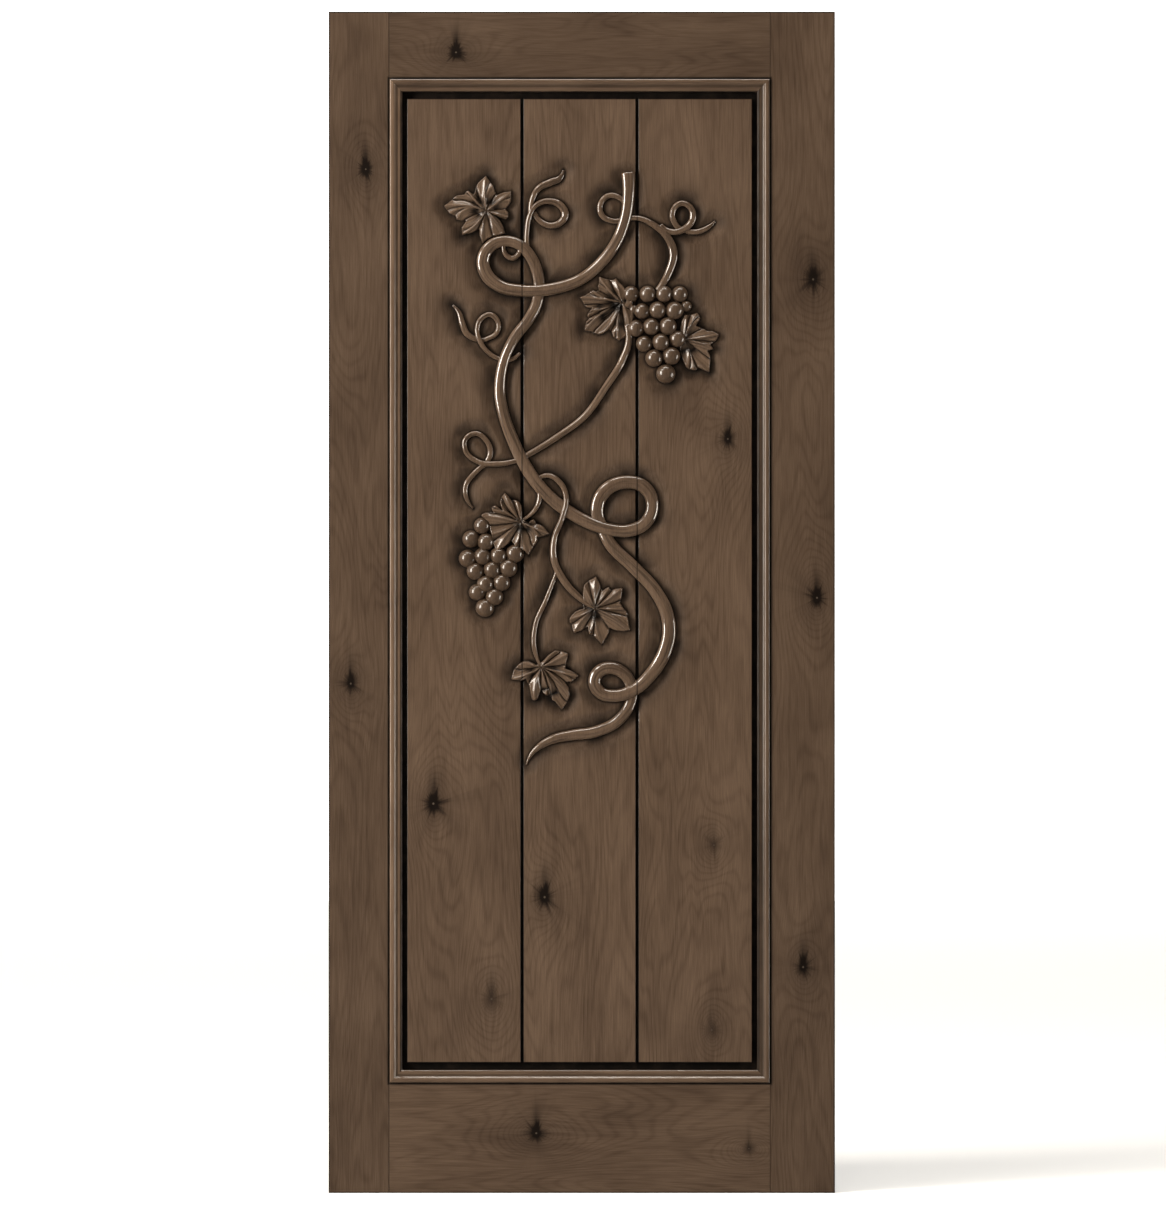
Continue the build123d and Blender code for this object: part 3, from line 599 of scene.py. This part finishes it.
def distance_to_carving(x, z):
    """Distance in millimetres from each grid point to the nearest carved edge."""
    near = (DISCS[:, 0] > x.min() - LOOKED) & (DISCS[:, 0] < x.max() + LOOKED)
    best = np.full(x.shape, FAR)
    for disc_x, disc_z, radius in DISCS[near]:
        rows = slice(*np.searchsorted(z[0], (disc_z - LOOKED - radius,
                                             disc_z + LOOKED + radius)))
        gap = np.hypot(x[:, rows] - disc_x, z[:, rows] - disc_z) - radius
        best[:, rows] = np.minimum(best[:, rows], gap)
    return np.maximum(best, 0)


def box_part(x0, x1, y0, y1, z0, z1, base):
    """Points and faces of a box, with the faces numbered from base."""
    points = [(x, y, z) for x in (x0, x1) for y in (y0, y1) for z in (z0, z1)]
    quads = [(0, 1, 3, 2), (4, 6, 7, 5), (0, 4, 5, 1), (2, 3, 7, 6), (0, 2, 6, 4), (1, 5, 7, 3)]
    return points, [tuple(base + k for k in quad) for quad in quads]


ARRIS_WIDTH = 1.4  # millimetres of each plank's rounded edge
ARRIS = np.array((0, 0.35, 0.8, ARRIS_WIDTH)) * MM
BORDER = 2.4 * MM  # where the even columns and rows begin
PITCH = 2.2 * MM  # between columns, and between rows round the carving
FOOT_PITCH, TOP_PITCH = 20 * MM, 8 * MM
ROUND_CARVING = 45  # millimetres round the carving with fine rows
DISH = 27.0  # millimetres over which the ground comes up to the face
CORE_INSET = 8 * MM  # from either face to the bottom of the shadow slots
TONGUE_REACH = 10 * MM  # of the outer tongues into the grooves of the frame


def build_plank(name, low, high, core_low, core_high, material):
    """Plank with the dished carved ground on its front and a plain back."""
    carved_foot = (DISCS[:, 1].min() - ROUND_CARVING) * MM
    carved_top = (DISCS[:, 1].max() + ROUND_CARVING) * MM
    columns = np.linspace(low + BORDER, high - BORDER, round((high - low) / PITCH))
    xs = np.concatenate([low + ARRIS, columns, high - ARRIS[::-1]])
    zs = np.concatenate([field_foot + ARRIS,
                         np.arange(field_foot + BORDER, carved_foot, FOOT_PITCH),
                         np.arange(carved_foot, carved_top, PITCH),
                         np.arange(carved_top, field_top - BORDER, TOP_PITCH),
                         field_top - ARRIS[::-1]])
    grid_x, grid_z = np.meshgrid(xs, zs, indexing="ij")
    x, z = grid_x / MM, grid_z / MM
    away = distance_to_carving(x, z)
    sunk = (1 - ease(away / DISH)) ** 1.15
    tooled = np.sin(x / 8.3 + 1.3 * np.sin(z / 21)) * np.sin(z / 12.7 + 1.1 * np.sin(x / 17))
    margin = np.minimum.reduce([grid_x - low, high - grid_x, grid_z - field_foot,
                                field_top - grid_z]) / MM
    at_edge = np.clip(1 - margin / ARRIS_WIDTH, 0, 1)
    front_y = plank_face + (ground_depth * sunk + 0.22 * sunk * tooled + 0.7 * at_edge ** 2) * MM
    # Painted shade with the glaze: near black at the foot of the carving and on the plank's
    # rounded edges, and a broad painted shade halo round the carving.
    glaze_and_shade = 0.98 * bell(away, 4.6, 1.6) + 1.3 * at_edge
    halo_shade = bell(away, 17.5, 1.25)
    rows, width = grid_x.shape
    points = [tuple(p) for p in np.stack([grid_x, front_y, grid_z], axis=-1).reshape(-1, 3)]
    corner = (np.arange(rows - 1)[:, None] * width + np.arange(width - 1)).ravel()
    faces = [(a, a + width, a + width + 1, a + 1) for a in corner.tolist()]
    first_flat = len(faces)
    rim = [i * width for i in range(rows)]
    rim += [(rows - 1) * width + j for j in range(1, width)]
    rim += [i * width + width - 1 for i in range(rows - 2, -1, -1)]
    rim += range(width - 2, 0, -1)
    base = len(points)
    points += [(points[k][0], back_face, points[k][2]) for k in rim]
    count = len(rim)
    for k in range(count):
        following = (k + 1) % count
        faces.append((rim[k], base + k, base + following, rim[following]))
    faces.append(tuple(base + k for k in range(count)))
    visible = len(points)
    core = box_part(core_low, core_high, plank_face + CORE_INSET, back_face - CORE_INSET,
                    field_foot + 0.5 * MM, field_top - 0.5 * MM, len(points))
    points += core[0]
    faces += core[1]
    side_low = opening_left - TONGUE_REACH if low == field_left else core_low
    side_high = opening_right + TONGUE_REACH if high == field_right else core_high
    tongues = box_part(side_low, side_high, -tongue, tongue, opening_foot - TONGUE_REACH,
                       opening_top + TONGUE_REACH, len(points))
    points += tongues[0]
    faces += tongues[1]
    hidden = len(points) - visible
    # The hidden core and tongues, seen at the bottom of the shadow gaps, are painted fully dark as
    # shade.
    glaze_and_shade = np.concatenate([np.clip(glaze_and_shade, 0, 1).ravel(), np.zeros(count), np.ones(hidden)])
    halo_shade = np.concatenate([halo_shade.ravel(), np.zeros(count + hidden)])
    piece = make_object(name + "_carved", points, faces, glaze_and_shade, halo_shade,
                        flat=range(first_flat, len(faces)))
    dress(piece, name, material)


# Materials.
class Shader:
    """Short way to write a node tree. Its methods take numbers and node outputs alike."""

    def __init__(self, name):
        self.material = bpy.data.materials.new(name)
        self.material.use_nodes = True
        self.tree = self.material.node_tree
        self.surface = self.tree.nodes["Principled BSDF"]

    def wire(self, value, socket):
        if isinstance(value, bpy.types.NodeSocket):
            self.tree.links.new(value, socket)
        else:
            socket.default_value = value

    def add(self, kind, inputs=(), **settings):
        node = self.tree.nodes.new(kind)
        for key, value in settings.items():
            setattr(node, key, value)
        for key, value in dict(inputs).items():
            self.wire(value, node.inputs[key])
        return node

    def math(self, operation, a, b=0.0, clamp=False):
        return self.add("ShaderNodeMath", {0: a, 1: b}, operation=operation,
                        use_clamp=clamp).outputs[0]

    def fold(self, operation, values):
        total = values[0]
        for value in values[1:]:
            total = self.math(operation, total, value)
        return total

    def plus(self, *values):
        return self.fold("ADD", values)

    def times(self, *values):
        return self.fold("MULTIPLY", values)

    def most(self, *values):
        return self.fold("MAXIMUM", values)

    def least(self, *values):
        return self.fold("MINIMUM", values)

    def minus(self, a, b):
        return self.math("SUBTRACT", a, b)

    def square(self, value, unit=1.0):
        part = self.math("DIVIDE", value, unit)
        return self.times(part, part)

    def fade(self, value):
        """1 at nothing, falling off as the value grows."""
        return self.math("EXPONENT", self.times(value, -1.0))

    def noise(self, vector, detail=2.0, roughness=0.5, distortion=0.0):
        return self.add("ShaderNodeTexNoise", {"Vector": vector, "Scale": 1.0, "Detail": detail,
                                               "Roughness": roughness, "Distortion": distortion}
                        ).outputs["Fac"]

    def attribute(self, name, output="Fac"):
        return self.add("ShaderNodeAttribute", attribute_name=name).outputs[output]

    def vector(self, x, y, z):
        return self.add("ShaderNodeCombineXYZ", {0: x, 1: y, 2: z}).outputs[0]

    def stretch(self, vector, scale, offset=(0, 0, 0)):
        return self.add("ShaderNodeMapping", {"Vector": vector, "Scale": scale,
                                              "Location": offset}).outputs[0]

    def mix(self, factor, a, b):
        node = self.add("ShaderNodeMix", data_type="RGBA")
        for value, socket in ((factor, node.inputs[0]), (a, node.inputs[6]), (b, node.inputs[7])):
            self.wire(value if isinstance(value, (float, bpy.types.NodeSocket)) else (*value, 1),
                      socket)
        return node.outputs[2]

    def ramp(self, factor, stops):
        node = self.add("ShaderNodeValToRGB", {"Fac": factor})
        marks = node.color_ramp.elements
        while len(marks) < len(stops):
            marks.new(0.5)
        for mark, (position, colour) in zip(marks, stops):
            mark.position = position
            mark.color = (*colour, 1.0)
        return node.outputs["Color"]

    def band(self, value, low, high):
        """0 below low, 1 above high, smooth between."""
        return self.add("ShaderNodeMapRange", {"Value": value, "From Min": low, "From Max": high},
                        interpolation_type="SMOOTHSTEP").outputs[0]

    def below(self, value, low, high):
        """1 below low, 0 above high, smooth between."""
        return self.minus(1.0, self.band(value, low, high))

    def finished(self, values):
        """The material, with these values on its surface."""
        for title, value in values.items():
            self.wire(value, self.surface.inputs[title])
        return self.material


# Linear colours: three shades of the stained wood, the near black of the glaze and painted shade,
# a knot and its pith.
DARK = (0.034, 0.0207, 0.0127)
MID = (0.063, 0.0401, 0.0254)
LIGHT = (0.090, 0.0594, 0.0389)
GLAZE_AND_SHADE = (0.0030, 0.0018, 0.0010)
KNOT = (0.0050, 0.0030, 0.0018)
PITH = (0.085, 0.065, 0.05)


def knot_field(s, across, grain, knots, upright):
    """Shift of the grain, added year rings, darkness and pith round each knot."""
    shift, rings, dark, pith = 0.0, 0.0, 0.0, 0.0
    for a, g, size, strength in knots:
        size *= MM
        da, dg = s.minus(across, a * MM), s.minus(grain, g * MM)
        pull = s.fade(s.plus(s.square(da, 3 * size), s.square(dg, 7 * size)))
        shift = s.plus(shift, s.times(da, pull, -0.75))
        oval = s.math("SQRT", s.plus(s.square(da, 1.9 * size), s.square(dg, 3.2 * size)))
        rings = s.plus(rings, s.times(s.fade(oval), 0.46))
        gap = s.math("SQRT", s.plus(s.square(da, size), s.square(dg, 1.12 * size)))
        aim = s.add("ShaderNodeVectorMath", {0: s.vector(da, dg, 0.0)}, operation="NORMALIZE")
        spikes = s.noise(s.stretch(aim.outputs[0], (2.3, 2.3, 2.3), (a, g, a - g)), 3.0, 0.70)
        ragged = s.times(gap, s.plus(0.54, s.times(s.band(spikes, 0.30, 0.70), 0.80)))
        disc = s.below(ragged, 0.66, 1.24)
        core = s.below(ragged, 0.12, 0.72)
        up, aside = (dg, da) if upright else (da, dg)
        smear = s.fade(s.plus(s.square(aside, 0.46 * size),
                              s.square(s.minus(up, 1.2 * size), 2.0 * size)))
        halo = s.fade(s.square(ragged, 2.5))
        local = s.plus(s.times(disc, 0.48), s.times(core, 0.40), s.times(smear, 0.62),
                       s.times(halo, 0.30))
        dark = s.most(dark, s.math("MULTIPLY", local, strength, clamp=True))
        pith = s.most(pith, s.times(s.below(gap, 0.07, 0.13), 0.8 * strength))
    return shift, rings, dark, pith


def outside_opening(s, axis):
    """Distance outwards from the edge of the opening, in metres; negative inside it."""
    return s.most(s.minus(opening_left, axis[0]), s.minus(axis[0], opening_right),
                  s.minus(opening_foot, axis[2]), s.minus(axis[2], opening_top))


# The scales of the noises are in waves per metre, mostly across the board, through it
# and along it.
def bare_wood(s, board, plain, offset, rings, tone, figure):
    """Colour of the wood before the glaze, and its fibre and flecks."""
    contour = s.noise(s.stretch(board, (8.0, 8.0, 1.3), offset), 2.0, 0.4, 0.3)
    lines = s.math("PINGPONG", s.times(s.plus(contour, rings), 58.0), 1.0)
    line = s.below(lines, 0.0, 0.60)
    blotch = s.noise(s.stretch(plain, (11.0, 11.0, 4.5), offset), 3.0, 0.55)
    cloud = s.noise(s.stretch(board, (42.0, 42.0, 9.0), offset), 2.0, 0.5)
    fibre = s.noise(s.stretch(board, (620.0, 620.0, 17.0), offset), 2.0, 0.6)
    fleck = s.noise(s.stretch(board, (900.0, 900.0, 65.0), offset), 1.0, 0.5)
    fleck = s.band(fleck, 0.62, 0.74)
    value = s.plus(0.56, s.times(s.minus(blotch, 0.5), 0.80), s.times(s.minus(cloud, 0.5), 0.26),
                   s.times(s.minus(fibre, 0.5), 0.85), s.times(line, -0.14 * figure))
    shade = [tuple(tone * c for c in colour) for colour in (DARK, MID, LIGHT)]
    colour = s.ramp(value, [(0.10, shade[0]), (0.5, shade[1]), (0.90, shade[2])])
    return s.mix(s.times(fleck, 0.22), colour, shade[0]), fibre, fleck


def frame_glaze_and_shade(s, axis, worn):
    """Glaze with painted shade in the corner just outside the mouldings, and a darker band along
    the outer edges of the leaf.
    """
    along_moulding = s.below(outside_opening(s, axis), 0.8 * MM, 5.0 * MM)
    border = s.least(axis[0], s.minus(leaf_right, axis[0]), axis[2], s.minus(leaf_top, axis[2]))
    return s.most(s.times(along_moulding, s.plus(0.68, s.times(worn, 0.5))),
                  s.times(s.below(border, 0.8 * MM, 3.6 * MM), 0.72))


def moulding_glaze_and_shade(s, axis, worn, upright, inner_painted_shade):
    """Glaze and painted shade in a moulding's hollows and on its inner half, by how far inwards
    they lie in the opening.
    """
    inward = s.times(outside_opening(s, axis), -1.0)
    # Painted shade with the glaze: dark at the outer edge, in the cove and at the inner drop; an
    # upright moulding's inner part is as dark as its inner setting, painted shade on the side away
    # from the light.
    stops = [(0.0, 1.0), (0.05, 0.8), (0.10, 0.05), (0.40, 0.0), (0.57, 0.62), (0.64, 0.62),
             (0.74, inner_painted_shade)]
    stops += [(0.78, inner_painted_shade), (0.85, 0.92)] if upright else [(0.93, 0.03), (0.99, 0.9)]
    hollow = s.ramp(s.math("DIVIDE", inward, moulding_width),
                    [(position, (grey, grey, grey)) for position, grey in stops])
    hollow = s.add("ShaderNodeRGBToBW", {0: hollow}).outputs[0]
    return s.times(hollow, s.plus(0.62, s.times(worn, 0.5)))


def carving_glaze_and_shade(s, plain, offset, worn):
    """Glaze with painted shade, and the patchy painted shade halo round the carving, as the meshes
    of the planks and the carving carry them.
    """
    glaze_and_shade = s.times(s.attribute("glaze_and_shade"), s.plus(0.78, s.times(worn, 0.40)))
    # A noise makes the painted halo shade patchy.
    halo_patches = s.noise(s.stretch(plain, (19.0, 19.0, 19.0), offset), 2.0, 0.5)
    halo_patches = s.plus(0.26, s.times(s.band(halo_patches, 0.38, 0.62), 0.72))
    return s.most(glaze_and_shade, s.times(s.attribute("halo_shade"), halo_patches))


def wood(name, kind, seed, tone, along="z", knots=(), figure=1.0, joints=(), polish=0.5,
         inner_painted_shade=0.08):
    """Knotty alder under a brown stain, a dark glaze with painted shade in the hollows and round
    the carving, and a satin lacquer.

    kind is frame, moulding, plank or carved. seed shifts the noises, tone is the lightness
    and figure the strength of the year rings. joints are the places across the leaf where
    boards meet. polish is the weight of the lacquer, which is wetter where it is 1.
    """
    s = Shader(name + "_wood")
    place = s.add("ShaderNodeTexCoord").outputs["Object"]
    axis = s.add("ShaderNodeSeparateXYZ", {0: place}).outputs
    upright = along == "z"
    across, grain = (axis[0], axis[2]) if upright else (axis[2], axis[0])
    offset = (seed, seed * 0.37, seed * 0.71)
    shift, rings, dark, pith = knot_field(s, across, grain, knots, upright)
    board = s.vector(s.plus(across, shift), axis[1], grain)
    plain = s.vector(across, axis[1], grain)
    colour, fibre, fleck = bare_wood(s, board, plain, offset, rings, tone, figure)
    if knots:
        colour = s.mix(dark, colour, KNOT)
        colour = s.mix(pith, colour, PITH)
    height = s.plus(s.times(fibre, 0.5), s.times(fleck, -0.4))
    worn = s.noise(s.stretch(plain, (38.0, 38.0, 38.0), offset), 3.0, 0.6)
    if kind == "frame":
        glaze_and_shade = frame_glaze_and_shade(s, axis, worn)
    elif kind == "moulding":
        glaze_and_shade = moulding_glaze_and_shade(s, axis, worn, upright, inner_painted_shade)
    else:
        glaze_and_shade = carving_glaze_and_shade(s, plain, offset, worn)
    if kind == "carved":
        streak = s.noise(s.stretch(s.attribute("run", "Vector"), (12.0, 260.0, 9.0), offset),
                         2.0, 0.6)
        glaze_and_shade = s.plus(glaze_and_shade, s.times(s.band(streak, 0.50, 0.66), 0.42))
        height = s.plus(height, s.times(streak, 1.2))
    glaze_and_shade = s.math("MULTIPLY", glaze_and_shade, 1.0, clamp=True)
    joint_width, joint_glaze = (1.9, 0.85) if kind == "carved" else (0.9, 0.6)
    for x in joints:
        gap = s.math("ABSOLUTE", s.minus(axis[0], x))
        closed = s.times(s.below(gap, 0.25 * MM, joint_width * MM), joint_glaze)
        glaze_and_shade = s.most(glaze_and_shade, closed)
        height = s.plus(height, s.times(closed, -5.0))
    bump = s.add("ShaderNodeBump", {"Height": height, "Strength": 0.4, "Distance": 0.12 * MM})
    matt = s.most(glaze_and_shade, dark) if knots else glaze_and_shade
    coat_roughness, coat_ior = (0.16, 1.5) if polish < 1 else (0.12, 1.8)
    # The base colour goes near black where the glaze and painted shade lie.
    return s.finished({
        "Base Color": s.mix(glaze_and_shade, colour, GLAZE_AND_SHADE),
        "Roughness": s.plus(0.36, s.times(fibre, 0.14), s.times(glaze_and_shade, 0.24)),
        "Specular IOR Level": 0.12,
        "Normal": bump.outputs[0],
        "Coat Normal": bump.outputs[0],
        "Coat Weight": s.times(s.minus(1.0, s.times(matt, 0.85)), polish),
        "Coat Roughness": coat_roughness,
        "Coat IOR": coat_ior})


def paint(node, material):
    nodes[node].material_slots[0].material = material


# Each knot is its place across the grain and along it and its radius, in millimetres,
# and its darkness.
rail_ends = (opening_left, opening_right)
paint("left_stile", wood("left_stile", "frame", 1.3, 0.90,
                         knots=[(67, 1849, 13, 1.0), (40, 920, 15, 0.76)]))
paint("right_stile", wood("right_stile", "frame", 4.9, 0.93,
                          knots=[(875, 1650, 17, 0.80), (882, 1075, 15, 0.90),
                                 (857, 408, 16.5, 0.76)]))
paint("top_rail", wood("top_rail", "frame", 7.7, 0.84, along="x", joints=rail_ends,
                       knots=[(2060, 230, 14, 1.0)]))
paint("bottom_rail", wood("bottom_rail", "frame", 11.2, 0.98, along="x", joints=rail_ends,
                          knots=[(108, 375, 15.5, 0.85), (80, 759, 11, 0.50)]))
left_plank_wood = wood("left_plank", "plank", 15.8, 1.08, polish=0.9,
                       knots=[(189, 703, 18, 0.92), (294, 350, 17, 0.46)])
middle_plank_wood = wood("middle_plank", "plank", 19.4, 1.13, polish=0.9,
                         knots=[(390, 534, 18, 0.82)])
right_plank_wood = wood("right_plank", "plank", 23.1, 1.12, polish=0.9,
                        knots=[(721, 1362, 14.5, 0.76), (696, 628, 13, 0.44),
                               (692, 294, 15, 0.38)])

# The mouldings are one wood in three copies painted lighter or darker as the light falls: the left
# one painted light, the right one painted dark with painted shade on its inner half, the level
# ones between them and glossier.
lit_left_moulding_wood = wood("lit_left_moulding", "moulding", 27.6, 1.75, figure=0.5, polish=0.45)
shaded_right_moulding_wood = wood("shaded_right_moulding", "moulding", 29.4, 1.0, figure=0.5, inner_painted_shade=0.5)
level_moulding_wood = wood("level_moulding", "moulding", 31.5, 1.25, along="x", figure=0.5,
                           polish=1.0)
for side in ("front", "back"):
    paint(side + "_moulding_left", lit_left_moulding_wood)
    paint(side + "_moulding_right", shaded_right_moulding_wood)
    paint(side + "_moulding_top", level_moulding_wood)
    paint(side + "_moulding_bottom", level_moulding_wood)

plank_joints = (joint_1, joint_2)
carved_wood = wood("carved", "carved", 35.2, 1.32, figure=0.4, joints=plank_joints, polish=1.0)
leaf_wood = wood("leaf", "carved", 39.8, 1.30, figure=0.3, joints=plank_joints, polish=0.9)
grape_wood = wood("grape", "plank", 43.3, 0.88, figure=0.8, joints=plank_joints, polish=0.9)

build_plank("left_plank", field_left, joint_1 - half_slot, field_left, joint_1,
            left_plank_wood)
build_plank("middle_plank", joint_1 + half_slot, joint_2 - half_slot, joint_1, joint_2,
            middle_plank_wood)
build_plank("right_plank", joint_2 + half_slot, field_right, joint_2, field_right,
            right_plank_wood)
for stem_name, stem_paths in paths.items():
    build_joined(stem_name, [stem_mesh(path, STREAK_SHIFT * number)
                             for number, path in enumerate(stem_paths)], carved_wood)
build_joined("grape_bunches", [grape_mesh(*grape) for grape in GRAPES], grape_wood)
for leaf_name in LEAVES:
    build_leaf(leaf_name, leaf_wood)


# Floor, backdrop, light and camera.
def glow(name, colour, strength):
    """Matt surface that also shines by itself, so that it stays pale."""
    return Shader(name).finished({
        "Base Color": (*colour, 1), "Roughness": 0.9, "Specular IOR Level": 0.0,
        "Emission Color": (*colour, 1), "Emission Strength": strength})


def plane(name, corners, material):
    piece = make_object(name, corners, [(0, 1, 2, 3)])
    piece.data.materials.append(material)
    piece.visible_glossy = False


west, east, near_side, far_side, wall_top = -14, 15, -4, 9, 12
plane("floor", [(west, near_side, 0), (east, near_side, 0), (east, far_side, 0),
                (west, far_side, 0)], glow("pale_floor", (0.80, 0.80, 0.79), 0.35))
plane("backdrop", [(west, far_side, 0), (east, far_side, 0), (east, far_side, wall_top),
                   (west, far_side, wall_top)], glow("pale_backdrop", (1.0, 1.0, 1.0), 0.95))

middle = Vector((leaf_right / 2, 0, leaf_top / 2))
WARM_WHITE = (1.0, 0.93, 0.84)


def softbox(name, aim, distance, width, height, brightness, mirrored=True):
    """Rectangular lamp that shines on the middle of the leaf, from the direction aim.

    brightness is how bright a white card on the leaf would be by this lamp alone, and
    mirrored says whether the lacquer shows the lamp.
    """
    aim = Vector(aim).normalized()
    light = bpy.data.lights.new(name, "AREA")
    light.shape = "RECTANGLE"
    light.size, light.size_y = width, height
    light.color = WARM_WHITE
    light.energy = brightness * math.pi ** 2 * distance ** 2 / -aim.y
    lamp = bpy.data.objects.new(name, light)
    lamp.location = middle + aim * distance
    lamp.rotation_euler = (-aim).to_track_quat("-Z", "Y").to_euler()
    lamp.visible_glossy = mirrored
    scene.collection.objects.link(lamp)


softbox("key_light", (-0.86, -0.46, 0.20), 7.0, 1.9, 4.4, 0.75)
softbox("corner_light", (-0.56, -0.42, 0.72), 7.0, 2.6, 1.6, 0.13)
softbox("right_light", (0.95, -0.16, -0.12), 6.0, 1.0, 3.4, 0.11)
softbox("top_light", (0.02, -0.20, 0.98), 6.0, 5.0, 0.9, 0.13)
softbox("front_fill", (-0.06, -0.92, 0.25), 8.0, 3.2, 3.2, 0.22, mirrored=False)

world = bpy.data.worlds.new("room")
world.use_nodes = True
background = world.node_tree.nodes["Background"]
background.inputs["Color"].default_value = (1, 1, 1, 1)
background.inputs["Strength"].default_value = 0.03
scene.world = world
scene.view_settings.view_transform = "Standard"

# The photograph's size and the places of the leaf's edges in it, in pixels.
photo_width, photo_height = 1166, 1219
leaf_columns = (328.7, 834.9)
leaf_rows = (11.6, 1193.0)
metres_per_pixel = leaf_top / (leaf_rows[1] - leaf_rows[0])
view_distance = 9.0
camera_data = bpy.data.cameras.new("camera")
camera_data.sensor_fit = "VERTICAL"
camera_data.sensor_height = 24
camera_data.lens = (camera_data.sensor_height * view_distance
                    / (photo_height * metres_per_pixel))
camera = bpy.data.objects.new("camera", camera_data)
centre_column = (leaf_columns[0] + leaf_columns[1]) / 2
centre_row = (leaf_rows[0] + leaf_rows[1]) / 2
camera.location = (middle.x + (photo_width / 2 - centre_column) * metres_per_pixel,
                   front_face - view_distance,
                   middle.z - (photo_height / 2 - centre_row) * metres_per_pixel)
camera.rotation_euler = (math.radians(90), 0, 0)
scene.collection.objects.link(camera)
scene.camera = camera
